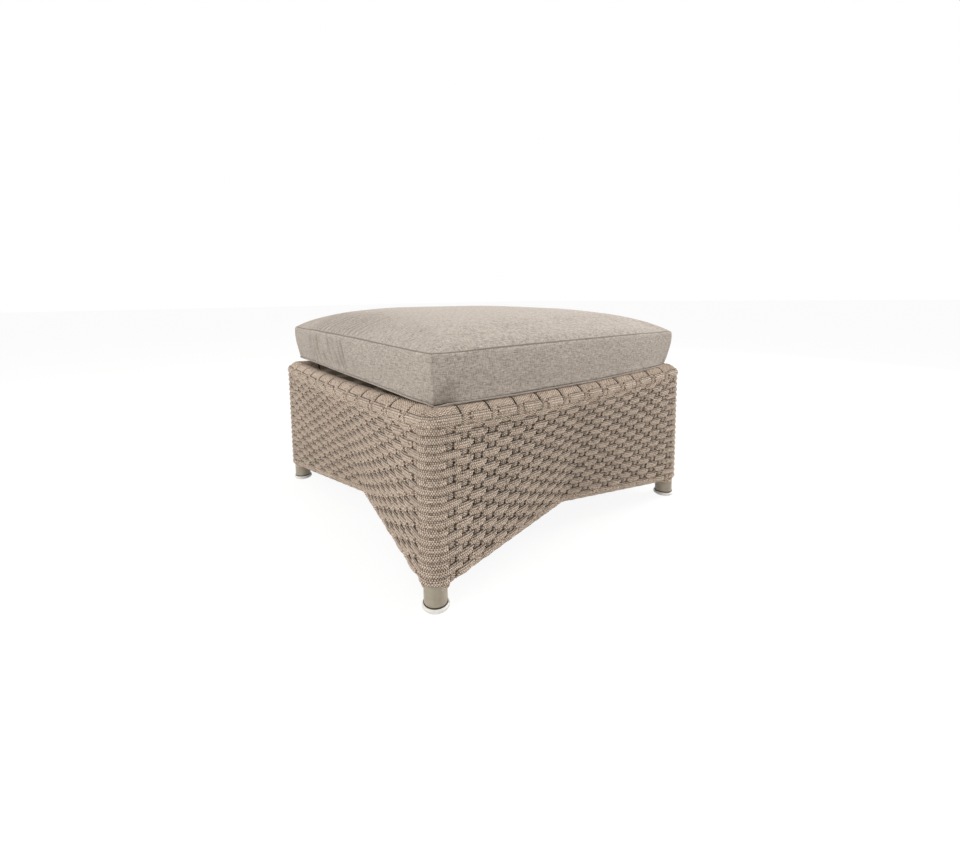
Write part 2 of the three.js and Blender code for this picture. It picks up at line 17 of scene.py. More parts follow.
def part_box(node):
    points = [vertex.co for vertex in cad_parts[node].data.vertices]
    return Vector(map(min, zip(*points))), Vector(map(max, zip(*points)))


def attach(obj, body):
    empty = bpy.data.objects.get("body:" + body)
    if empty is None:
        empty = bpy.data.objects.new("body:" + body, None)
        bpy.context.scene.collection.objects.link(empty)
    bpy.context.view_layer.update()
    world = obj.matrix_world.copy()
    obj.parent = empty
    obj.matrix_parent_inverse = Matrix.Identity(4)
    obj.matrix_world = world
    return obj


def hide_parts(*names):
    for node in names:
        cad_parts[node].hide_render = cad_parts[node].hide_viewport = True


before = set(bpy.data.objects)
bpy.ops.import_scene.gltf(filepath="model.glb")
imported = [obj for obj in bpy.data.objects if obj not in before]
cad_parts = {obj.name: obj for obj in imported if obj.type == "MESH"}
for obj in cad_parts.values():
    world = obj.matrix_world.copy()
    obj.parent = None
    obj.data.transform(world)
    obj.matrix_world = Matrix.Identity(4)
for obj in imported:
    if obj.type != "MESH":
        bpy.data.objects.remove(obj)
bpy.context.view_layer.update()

logging.basicConfig(level=logging.INFO, format="%(message)s")
LOG = logging.getLogger("footstool")

IMAGE_WIDTH = 960
IMAGE_HEIGHT = 854
MM = 0.001
TURN = 2.0 * math.pi
WHITE = (1.0, 1.0, 1.0, 1.0)

Value = Union["Term", float]
Color = tuple[float, float, float]
Point = tuple[float, float, float]
Table = tuple[tuple[float, float], ...]


# Helpers for node trees


def _of_one(operation: str) -> Callable[[Term], Term]:
    """A method that works one arithmetic step on a field."""
    return lambda term: term.graph.math(operation, term)


def _of_two(operation: str, turned: bool = False) -> Callable[[Term, Value], Term]:
    """A method that works one arithmetic step on a field and a value, which comes first if turned."""
    if turned:
        return lambda term, value: term.graph.math(operation, value, term)
    return lambda term, value: term.graph.math(operation, term, value)


class Term:
    """A number field in a node tree that takes part in ordinary arithmetic."""

    def __init__(self, graph: Graph, socket: bpy.types.NodeSocket) -> None:
        """Keeps the graph that the field belongs to and the socket that carries it."""
        self.graph = graph
        self.socket = socket

    __add__, __radd__ = _of_two("ADD"), _of_two("ADD", True)
    __sub__, __rsub__ = _of_two("SUBTRACT"), _of_two("SUBTRACT", True)
    __mul__, __rmul__ = _of_two("MULTIPLY"), _of_two("MULTIPLY", True)
    __truediv__, __rtruediv__ = _of_two("DIVIDE"), _of_two("DIVIDE", True)
    at_least, at_most, power = _of_two("MAXIMUM"), _of_two("MINIMUM"), _of_two("POWER")
    size, sign, floor, round = _of_one("ABSOLUTE"), _of_one("SIGN"), _of_one("FLOOR"), _of_one("ROUND")
    root, sin, cos, arcsin = _of_one("SQRT"), _of_one("SINE"), _of_one("COSINE"), _of_one("ARCSINE")

    def __neg__(self) -> Term:
        """The same size with the other sign."""
        return self * -1.0

    def arctan(self, run: Value = 1.0) -> Term:
        """Angle of a slope that rises by this over the run."""
        return self.graph.math("ARCTAN2", self, run)

    def share(self) -> Term:
        """The number kept between 0 and 1."""
        return self.at_least(0.0).at_most(1.0)

    def step(self, start: Value, width: float) -> Term:
        """Smooth rise from 0 at start to 1 at start plus width."""
        ramp = ((self - start) / width).share()
        return ramp * ramp * (3.0 - 2.0 * ramp)

    def to_nearest(self, size: float) -> Term:
        """The nearest multiple of the size."""
        return (self / size).round() * size

    def split(self, size: float) -> tuple[Term, Term]:
        """How many times a whole number holds the size, and what is left."""
        whole = (self / size + 0.001).floor()
        return whole, self - whole * size


class Graph:
    """A node tree under construction, for shapes or for materials."""

    def __init__(self, tree: bpy.types.NodeTree) -> None:
        """Keeps the tree that the nodes go into."""
        self.tree = tree

    @classmethod
    def group(cls, name: str, kind: str, inputs: Mapping[str, object], outputs: Mapping[str, str]) -> Graph:
        """Makes a node group with named sockets.

        Args:
            name: Name of the group.
            kind: Geometry or Shader.
            inputs: By name, the kind of a socket or the default of a number.
            outputs: The kind of a socket by its name.

        Returns:
            The graph, with its input and output nodes in place.
        """
        tree = bpy.data.node_groups.new(name, f"{kind}NodeTree")
        for label, given in inputs.items():
            sort = given if isinstance(given, str) else type(given).__name__.capitalize()
            socket = tree.interface.new_socket(label, in_out="INPUT", socket_type=f"NodeSocket{sort}")
            if not isinstance(given, str):
                socket.default_value = given
        for label, sort in outputs.items():
            tree.interface.new_socket(label, in_out="OUTPUT", socket_type=f"NodeSocket{sort}")
        graph = cls(tree)
        graph.entry = tree.nodes.new("NodeGroupInput")
        graph.exit = tree.nodes.new("NodeGroupOutput")
        return graph

    @classmethod
    def shape(cls, name: str, inputs: Mapping[str, object]) -> Graph:
        """Makes a geometry group that takes and gives a geometry."""
        return cls.group(name, "Geometry", {"Geometry": "Geometry", **inputs}, {"Geometry": "Geometry"})

    def given(self, name: str) -> Term:
        """The group's input of that name."""
        return Term(self, self.entry.outputs[name])

    def give(self, name: str, value: Term) -> None:
        """Sends a value out of the group."""
        self.feed(self.exit.inputs[name], value)

    def feed(self, socket: bpy.types.NodeSocket, value: object) -> None:
        """Links a socket to a field, or sets its own value."""
        if isinstance(value, Term):
            self.tree.links.new(value.socket, socket)
        else:
            socket.default_value = value

    def node(
        self, kind: str, inputs: Mapping[object, object] | None = None, **settings: object
    ) -> bpy.types.Node:
        """Adds a node.

        Args:
            kind: The node's type name.
            inputs: Values or fields by input name or number.
            **settings: The node's own settings.

        Returns:
            The new node.
        """
        made = self.tree.nodes.new(kind)
        for key, value in settings.items():
            setattr(made, key, value)
        for key, value in (inputs or {}).items():
            self.feed(made.inputs[key], value)
        return made

    def shader(self, kind: str, inputs: Mapping[object, object] | None = None, **settings: object) -> Term:
        """Adds a shader or common node by its short name and returns its first output."""
        return Term(self, self.node(f"ShaderNode{kind}", inputs, **settings).outputs[0])

    def geo(self, kind: str, settings: Mapping[str, object] | None = None, **inputs: object) -> Term:
        """Adds a geometry node and returns its first output.

        Args:
            kind: The node's short name.
            settings: The node's own settings.
            **inputs: Values or fields by input name, with underscores for spaces.

        Returns:
            The field or geometry that it gives.
        """
        named = {key.replace("_", " "): value for key, value in inputs.items()}
        return Term(self, self.node(f"GeometryNode{kind}", named, **(settings or {})).outputs[0])

    def math(self, operation: str, *values: Value) -> Term:
        """One arithmetic step between fields or numbers."""
        return self.shader("Math", dict(enumerate(values)), operation=operation)

    def combine(self, x: Value, y: Value, z: Value = 0.0) -> Term:
        """A vector from three numbers."""
        return self.shader("CombineXYZ", {0: x, 1: y, 2: z})

    def separate(self, vector: Term) -> tuple[Term, Term, Term]:
        """The three numbers of a vector."""
        parts = self.node("ShaderNodeSeparateXYZ", {0: vector}).outputs
        return Term(self, parts[0]), Term(self, parts[1]), Term(self, parts[2])

    def noise(self, vector: Term, scale: Value, detail: float = 2.0, roughness: float = 0.5) -> Term:
        """A noise value about one half."""
        inputs = {"Vector": vector, "Scale": scale, "Detail": detail, "Roughness": roughness}
        return self.shader("TexNoise", inputs)

    def mix(self, share: Value, first: object, second: object) -> Term:
        """One colour blended into another."""
        made = self.node("ShaderNodeMix", {0: share, 6: first, 7: second}, data_type="RGBA")
        return Term(self, made.outputs[2])

    def use(self, group: Graph, **inputs: object) -> Callable[[str], Term]:
        """Places another graph's group in a material, and returns a way to its outputs by name."""
        placed = self.tree.nodes.new("ShaderNodeGroup")
        placed.node_tree = group.tree
        for key, value in inputs.items():
            self.feed(placed.inputs[key], value)
        return lambda name: Term(self, placed.outputs[name])

    def store(
        self, geometry: Term, name: str, value: Value, data_type: str = "FLOAT", domain: str = "POINT"
    ) -> Term:
        """Keeps a field on a geometry under a name."""
        settings = {"data_type": data_type, "domain": domain}
        return self.geo("StoreNamedAttribute", settings, Geometry=geometry, Name=name, Value=value)

    def stored(self, name: str, data_type: str = "FLOAT") -> Term:
        """The field that is kept under a name."""
        return self.geo("InputNamedAttribute", {"data_type": data_type}, Name=name)

    def dressed(self, geometry: Term, material: str = "Material") -> Term:
        """The geometry made real, in the material that the group's input names."""
        real = self.geo("RealizeInstances", Geometry=geometry)
        return self.geo("SetMaterial", Geometry=real, Material=self.given(material))

    def smooth(self, geometry: Term) -> Term:
        """The geometry with smooth shading."""
        return Term(self, self.node("GeometryNodeSetShadeSmooth", {0: geometry}).outputs[0])


def linear(color: Color) -> tuple[float, float, float, float]:
    """Turns a colour as seen on screen, 0 to 255, into the light values that the renderer takes."""
    parts = [c / 255.0 for c in color]
    light = [p / 12.92 if p <= 0.04045 else ((p + 0.055) / 1.055) ** 2.4 for p in parts]
    return light[0], light[1], light[2], 1.0


# Shared effects of the finishes


class Effects:
    """The node groups that more than one finish uses."""

    def __init__(self) -> None:
        """Builds each group once."""
        self.melange = self._melange()
        self.braid = self._braid()
        self.grain = self._grain()
        self.cloth = self._cloth()

    @staticmethod
    def _melange() -> Graph:
        """Yarn of three shades spun together, seen as fine speckle."""
        numbers = {"Vector": "Vector", "Scale": 600.0, "Spread": 4.0}
        shades = {"Light": "Color", "Middle": "Color", "Dark": "Color"}
        graph = Graph.group("melange_yarn", "Shader", {**numbers, **shades}, {"Color": "Color"})
        vector, scale, spread = (graph.given(name) for name in numbers)
        fine = graph.noise(vector, scale, 3.0, 0.7)
        shifted = graph.shader("VectorMath", {0: vector, 1: (3.1, 1.7, 5.3)}, operation="ADD")
        other = graph.noise(shifted, scale * 0.61, 3.0, 0.7)
        first = graph.mix(((fine - 0.53) * spread).share(), graph.given("Middle"), graph.given("Light"))
        graph.give("Color", graph.mix(((0.47 - other) * spread).share(), first, graph.given("Dark")))
        return graph

    @staticmethod
    def _braid() -> Graph:
        """Crossing strands of a braided cord, from the cord's own length and turn coordinates, with masks for
        painted shade in the creases between strands and on the cord's flanks.
        """
        graph = Graph.group(
            "braided_cord",
            "Shader",
            {"Vector": "Vector", "Pitch": 0.003, "Strands": 4.0},
            {"Height": "Float", "Crease": "Float", "Flank": "Float"},
        )
        along, around, _ = graph.separate(graph.given("Vector"))
        turn = around * TURN * graph.given("Strands")
        run = along / graph.given("Pitch") * TURN
        height = (run + turn).sin().at_least((run - turn).sin())
        graph.give("Height", height)
        graph.give("Crease", (0.45 - height).share())
        graph.give("Flank", (around * TURN).sin().size().step(0.55, 0.45))
        return graph

    @staticmethod
    def _grain() -> Graph:
        """Fine orange-peel and broad clouds of a coated or moulded surface."""
        inputs = {"Vector": "Vector", "Scale": 900.0}
        graph = Graph.group("fine_grain", "Shader", inputs, {"Height": "Float", "Cloud": "Float"})
        vector, scale = (graph.given(name) for name in inputs)
        graph.give("Height", graph.noise(vector, scale, 2.0, 0.5))
        graph.give("Cloud", graph.noise(vector, scale * 0.03, 3.0, 0.6))
        return graph

    @staticmethod
    def _cloth() -> Graph:
        """Plain weave of slubby yarn, from flat cloth coordinates in metres."""
        inputs = {"Vector": "Vector", "Yarn": 0.0009}
        graph = Graph.group("slub_weave", "Shader", inputs, {"Height": "Float", "Slub": "Float"})
        across, along, _ = graph.separate(graph.given("Vector"))
        yarn = graph.given("Yarn")
        warp = graph.combine(across / yarn, along / yarn * 0.16)
        weft = graph.combine(across / yarn * 0.16, along / yarn, 4.7)
        slub = graph.noise(warp, 1.0, 1.0) + graph.noise(weft, 1.0, 1.0)
        ribs = (across / yarn * math.pi).sin() * (along / yarn * math.pi).sin()
        graph.give("Height", ribs * 0.35 + slub)
        graph.give("Slub", slub * 0.5)
        return graph


# Finishes


class Coordinates(Enum):
    """Where a finish reads its pattern from."""

    OBJECT = "Object"
    CORD = "cord"
    CLOTH = "cloth"


@dataclass(frozen=True)
class Finish:
    """What every finish shares: a name, the shared effects and one shader."""

    name: str
    effects: Effects

    def _dress(self, graph: Graph) -> dict[str, object]:
        """Values or fields for the shader, by input name."""
        raise NotImplementedError

    def material(self) -> bpy.types.Material:
        """Builds the material."""
        material = bpy.data.materials.new(self.name)
        material.use_nodes = True
        graph = Graph(material.node_tree)
        shader = material.node_tree.nodes["Principled BSDF"]
        for name, value in self._dress(graph).items():
            graph.feed(shader.inputs[name], value)
        return material

    @staticmethod
    def _coordinates(graph: Graph, kind: Coordinates) -> Term:
        """The vector that a pattern is read from."""
        if kind is Coordinates.OBJECT:
            return Term(graph, graph.node("ShaderNodeTexCoord").outputs[kind.value])
        return graph.shader("UVMap", uv_map=kind.value)

    @staticmethod
    def _mark(graph: Graph, name: str) -> Term:
        """The number that the shape's script left on the mesh under a name."""
        return Term(graph, graph.node("ShaderNodeAttribute", attribute_name=name).outputs["Fac"])

    @staticmethod
    def _bump(graph: Graph, height: Term, distance: float, strength: float) -> Term:
        """The normal of a surface with that height."""
        return graph.shader("Bump", {"Height": height, "Distance": distance, "Strength": strength})


@dataclass(frozen=True)
class RopeFinish(Finish):
    """Braided outdoor rope in a beige melange, with painted shade in its creases, on its flanks and where it
    lies deep between cords.
    """

    light: Color = (255, 245, 228)
    middle: Color = (242, 220, 200)
    dark: Color = (142, 119, 100)
    # Colour of the painted shade, mixed in by the mesh's shade mark, the braid's crease and flank masks, and
    # a little random tone.
    shade: Color = (62, 48, 37)
    pitch: float = 0.0031
    strands: float = 2.0
    yarn_scale: float = 430.0
    relief: float = 0.0005

    def _dress(self, graph: Graph) -> dict[str, object]:
        """Reads the cord's own coordinates for the braid and the object's for the yarn."""
        cord = self._coordinates(graph, Coordinates.CORD)
        space = self._coordinates(graph, Coordinates.OBJECT)
        braid = graph.use(self.effects.braid, Vector=cord, Pitch=self.pitch, Strands=self.strands)
        shades = {"Light": linear(self.light), "Middle": linear(self.middle), "Dark": linear(self.dark)}
        yarn = graph.use(self.effects.melange, Vector=space, Scale=self.yarn_scale, Spread=7.0, **shades)
        broad = graph.noise(space, 18.0, 2.0)
        # Painted shade: the mark that the shape trees leave on the mesh for cords that lie deep or in shadow,
        # plus the braid's crease and flank masks; the broad noise is random tone.
        painted_shade_mark = self._mark(graph, "painted_shade").share() * 0.9
        shade = braid("Crease") * 0.9 + (broad - 0.5) * 0.25 + braid("Flank") * 0.25 + painted_shade_mark
        return {
            "Base Color": graph.mix(shade.at_least(0.0).at_most(0.94), yarn("Color"), linear(self.shade)),
            "Roughness": 0.88,
            "Sheen Weight": 0.15,
            "Sheen Roughness": 0.6,
            "Specular IOR Level": 0.25,
            "Normal": self._bump(graph, braid("Height"), self.relief, 0.8),
        }


@dataclass(frozen=True)
class ClothFinish(Finish):
    """Melange outdoor fabric with a slubby plain weave, with painted shade in its folds and along the seam's
    groove.
    """

    light: Color = (207, 197, 187)
    middle: Color = (173, 163, 153)
    dark: Color = (124, 112, 101)
    # Colour of the painted shade in the folds' hollows and along the dart.
    fold: Color = (128, 117, 104)
    # Colour of the painted shade line in the seam's groove.
    stitch: Color = (104, 92, 80)
    yarn: float = 0.0013
    relief: float = 0.0004
    speckle_scale: float = 560.0
    contrast: float = 7.0

    def _dress(self, graph: Graph) -> dict[str, object]:
        """Reads flat cloth coordinates in metres."""
        cloth = self._coordinates(graph, Coordinates.CLOTH)
        weave = graph.use(self.effects.cloth, Vector=cloth, Yarn=self.yarn)
        speckle = graph.noise(cloth, self.speckle_scale, 2.0, 0.7)
        slub = weave("Slub") * 0.65 + speckle * 0.35
        lighter = ((slub - 0.505) * self.contrast).share()
        darker = ((0.495 - slub) * self.contrast).share()
        color = graph.mix(lighter, linear(self.middle), linear(self.light))
        color = graph.mix(darker, color, linear(self.dark))
        # Painted shade in the folds and along the seam's groove, from marks that the cushion leaves on its
        # mesh.
        color = graph.mix((self._mark(graph, "fold") * 1.1).at_most(0.8), color, linear(self.fold))
        line = self._mark(graph, "seam").step(0.72, 0.25) * 0.8
        return {
            "Base Color": graph.mix(line, color, linear(self.stitch)),
            "Roughness": 0.92,
            "Sheen Weight": 0.2,
            "Sheen Roughness": 0.5,
            "Specular IOR Level": 0.2,
            "Normal": self._bump(graph, weave("Height"), self.relief, 0.7),
        }


@dataclass(frozen=True)
class CoatFinish(Finish):
    """Powder coat, moulded plastic or plated metal: one colour with fine grain."""

    color: Color = (170, 160, 143)
    shade: Color = (150, 139, 122)
    roughness: float = 0.42
    roughness_spread: float = 0.12
    metallic: float = 0.0
    scale: float = 1400.0
    relief: float = 0.00004

    def _dress(self, graph: Graph) -> dict[str, object]:
        """Reads the object's coordinates."""
        space = self._coordinates(graph, Coordinates.OBJECT)
        grain = graph.use(self.effects.grain, Vector=space, Scale=self.scale)
        share = ((grain("Cloud") - 0.42) * 3.0).share()
        return {
            "Base Color": graph.mix(share, linear(self.color), linear(self.shade)),
            "Roughness": (grain("Cloud") - 0.5) * self.roughness_spread + self.roughness,
            "Metallic": self.metallic,
            "Normal": self._bump(graph, grain("Height"), self.relief, 0.5),
        }


class Finishes:
    """Every material of the footstool."""

    def __init__(self) -> None:
        """Builds the materials once."""
        effects = Effects()

        def coat(name: str, color: Color, shade: Color, **rest: float) -> bpy.types.Material:
            """A coat in two near shades."""
            return CoatFinish(name, effects, color, shade, **rest).material()

        self.rope = RopeFinish("rope_melange", effects).material()
        self.cloth = ClothFinish("cushion_cloth", effects).material()
        tape_shades = {"light": (190, 181, 168), "middle": (166, 156, 142), "dark": (128, 117, 104)}
        self.tape = ClothFinish("zip_tape_cloth", effects, **tape_shades, yarn=0.0006).material()
        self.coat = CoatFinish("powder_coat", effects).material()
        self.white_plastic = coat("white_plastic", (244, 242, 237), (228, 225, 218), roughness=0.38)
        self.dark_plastic = coat("dark_plastic", (58, 55, 52), (44, 42, 40), roughness=0.5)
        self.zip_metal = coat("zip_metal", (176, 172, 166), (140, 136, 130), roughness=0.32, metallic=1.0)
        self.zip_coil = coat("zip_coil", (150, 140, 126), (128, 118, 104), roughness=0.4)


# Making meshes


class Place(Enum):
    """A place round the footstool, as a turn or mirroring of the front side or the front left corner."""

    @property
    def label(self) -> str:
        """The place's name as the frame has it."""
        return self.name.lower()

    @property
    def matrix(self) -> Matrix:
        """The move that takes a mesh there."""
        (a, b), (c, d) = self.value
        return Matrix(((a, b, 0, 0), (c, d, 0, 0), (0, 0, 1, 0), (0, 0, 0, 1)))


class Side(Place):
    """A side of the footstool."""

    FRONT = ((1, 0), (0, 1))
    RIGHT = ((0, -1), (-1, 0))
    BACK = ((-1, 0), (0, -1))
    LEFT = ((0, 1), (1, 0))


class Corner(Place):
    """A corner of the footstool."""

    FRONT_LEFT = ((1, 0), (0, 1))
    FRONT_RIGHT = ((-1, 0), (0, 1))
    BACK_RIGHT = ((-1, 0), (0, -1))
    BACK_LEFT = ((1, 0), (0, -1))


def link_object(name: str, data: bpy.types.ID) -> bpy.types.Object:
    """Puts a mesh, lamp or camera in the scene under a name."""
    made = bpy.data.objects.new(name, data)
    data.name = name
    bpy.context.scene.collection.objects.link(made)
    return made


def kept(piece: bpy.types.Object) -> bpy.types.Mesh:
    """A plain mesh of the piece as its modifiers show it."""
    depsgraph = bpy.context.evaluated_depsgraph_get()
    shown = piece.evaluated_get(depsgraph)
    return bpy.data.meshes.new_from_object(shown, preserve_all_data_layers=True, depsgraph=depsgraph)


def grow(
    name: str, graph: Graph, settings: Mapping[str, object], base: bpy.types.Mesh | None = None
) -> bpy.types.Mesh:
    """Runs a shape tree and keeps its result as a plain mesh.

    Args:
        name: Name of the mesh.
        graph: The tree.
        settings: Values by the names of the tree's inputs.
        base: The mesh that the tree starts from, where it needs one.

    Returns:
        The finished mesh.
    """
    holder = link_object(name, base or bpy.data.meshes.new(name))
    modifier = holder.modifiers.new("shape", "NODES")
    modifier.node_group = graph.tree
    for item in graph.tree.interface.items_tree:
        if item.in_out == "INPUT" and item.name in settings:
            modifier[item.identifier] = settings[item.name]
    mesh = kept(holder)
    bpy.data.objects.remove(holder)
    return mesh


def hand_in(name: str, mesh: bpy.types.Mesh, body: str, slot: str, *nodes: str) -> bpy.types.Object:
    """Puts a finished piece on its body.

    Args:
        name: Name of the piece.
        mesh: Its mesh.
        body: The body that carries it.
        slot: Its finish slot; not used.
        *nodes: The plain solids that it stands for.

    Returns:
        The piece.
    """
    piece = link_object(name, mesh)
    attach(piece, body)
    if nodes:
        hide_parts(*nodes)
    LOG.info("%s: %d triangles", name, sum(len(p.vertices) - 2 for p in mesh.polygons))
    return piece


def hand_in_round(
    label: str, mesh: bpy.types.Mesh, places: type[Place], slot: str, *nodes: str
) -> None:
    """Puts a copy of a front or front left mesh at each side or corner of the frame, faces outwards."""
    for place in places:
        copy = mesh.copy()
        copy.transform(place.matrix)
        if place.matrix.determinant() < 0:
            copy.flip_normals()
        names = [f"{node}_{place.label}" for node in nodes]
        hand_in(f"{label}_{place.label}", copy, "frame", slot, *names)


# Woven rope


@dataclass(frozen=True)
class WovenFace:
    """The outer face that the rope skirt lies in, on the front side."""

    half_width: float = 300.0 * MM
    corner_centre: float = 275.5 * MM
    corner_radius: float = 24.5 * MM
    pull_in: float = 46.0 * MM
    top: float = 240.2 * MM
    corner_lift: float = 6.0 * MM
    foot: float = 31.0 * MM
    foot_rise: float = 19.0 * MM
    kink_softness: float = 14.0 * MM

    @property
    def half_run(self) -> float:
        """Length along the side from its middle to the corner's diagonal."""
        return self.corner_centre + self.corner_radius * math.pi / 4

    @property
    def drop(self) -> float:
        """Height of the face at its ends, from top to foot."""
        return self.top - self.foot

    def place(self, graph: Graph, along: Term, down: Term, proud: Term) -> Term:
        """Works out a point of the face.

        Args:
            graph: The tree that the point is worked out in.
            along: Length along the side from its middle, in metres.
            down: Share of the face's height from its top.
            proud: Distance outwards from the face, in metres.

        Returns:
            The point as a vector.
        """
        centre, radius = self.corner_centre, self.corner_radius
        lead = down * self.pull_in + (centre - self.half_width)
        reach = lead * lead + centre * centre
        lean = (radius / reach.root()).arcsin() + lead.arctan(centre)
        straight = (reach - radius * radius).root()
        far = along.size()
        flat = far.at_most(straight)
        swing = (far - straight).at_least(0.0) / (radius * math.pi / 4) * (lean + math.pi / 4)
        easing = (far / self.kink_softness).at_most(1.0)
        facing = lean - swing
        soft = lean * easing - swing
        x = flat * lean.cos() + (lean.sin() - facing.sin()) * radius - soft.sin() * proud
        y = lead - centre - flat * lean.sin() + (lean.cos() - facing.cos()) * radius - soft.cos() * proud
        run = (far / straight).at_most(1.0)
        head = run * run * self.corner_lift + self.top
        z = head - down * (head - self.foot - (1.0 - run) * self.foot_rise)
        return graph.combine(x * along.sign(), y, z)


class Cords:
    """A shape tree that lays out loose strips and closes them into cords of rope."""

    merge_distance = 0.02 * MM
    pattern_lag = 0.0137

    def __init__(self, name: str, count: int, pitch: float, skirt: RopeSkirt) -> None:
        """Starts the tree.

        Args:
            name: Name of the tree.
            count: How many cords there are.
            pitch: The step that the cords repeat by, in metres.
            skirt: The skirt whose cord size and finish they have.
        """
        self.name, self.pitch_value, self.skirt = name, pitch, skirt
        inputs = {"Cord radius": skirt.cord_radius, "Steps": 100, "Material": "Material", "Pitch": pitch}
        self.graph = graph = Graph.shape(name, inputs)
        points = graph.geo("MeshLine", Count=count, Offset=(0.0, 0.0, 0.0))
        numbered = graph.store(points, "strand", graph.geo("InputIndex"), "INT")
        cells = {"Vertices_X": graph.given("Steps"), "Vertices_Y": skirt.cord_faces + 1}
        strip = graph.geo("MeshGrid", Size_X=1.0, Size_Y=1.0, **cells)
        placed = graph.geo("InstanceOnPoints", Points=numbered, Instance=strip)
        self.strips = graph.geo("RealizeInstances", Geometry=placed)
        x, y, _ = graph.separate(graph.geo("InputPosition"))
        self.strand = graph.stored("strand", "INT")
        self.share, self.around = x + 0.5, y + 0.5
        self.sine, self.cosine = (self.around * TURN).sin(), (self.around * TURN).cos()
        self.radius, self.pitch = graph.given("Cord radius"), graph.given("Pitch")

    def spin(self) -> tuple[Term, Term]:
        """Cosine and sine of the turn that a cord makes round its bar."""
        return (self.share * TURN).cos(), (self.share * TURN).sin()

    def close(self, place: Term, length: Term, steps: int, painted_shade: Value = 0.0) -> bpy.types.Mesh:
        """Moves the strips to their places and closes them into cords.

        Args:
            place: Where each point goes.
            length: Length along the cord, in metres.
            steps: Points along each cord.
            painted_shade: How much painted shade the cord's colour gets, from 0 to 1, mostly where it lies
                deep between its neighbours.

        Returns:
            The cords' mesh.
        """
        graph = self.graph
        coordinates = graph.combine(length + self.strand * self.pattern_lag, self.around)
        marked = graph.store(self.strips, "cord", coordinates, "FLOAT2", "CORNER")
        # Keeps the painted shade on the mesh for the rope's colour.
        painted_shade_mark = graph.store(marked, "painted_shade", painted_shade)
        placed = graph.geo("SetPosition", Geometry=painted_shade_mark, Position=place)
        merged = graph.geo("MergeByDistance", Geometry=placed, Distance=self.merge_distance)
        graph.give("Geometry", graph.dressed(graph.smooth(merged)))
        sizes = {"Cord radius": self.skirt.cord_radius, "Steps": steps, "Pitch": self.pitch_value}
        return grow(self.name, graph, {**sizes, "Material": self.skirt.finish})


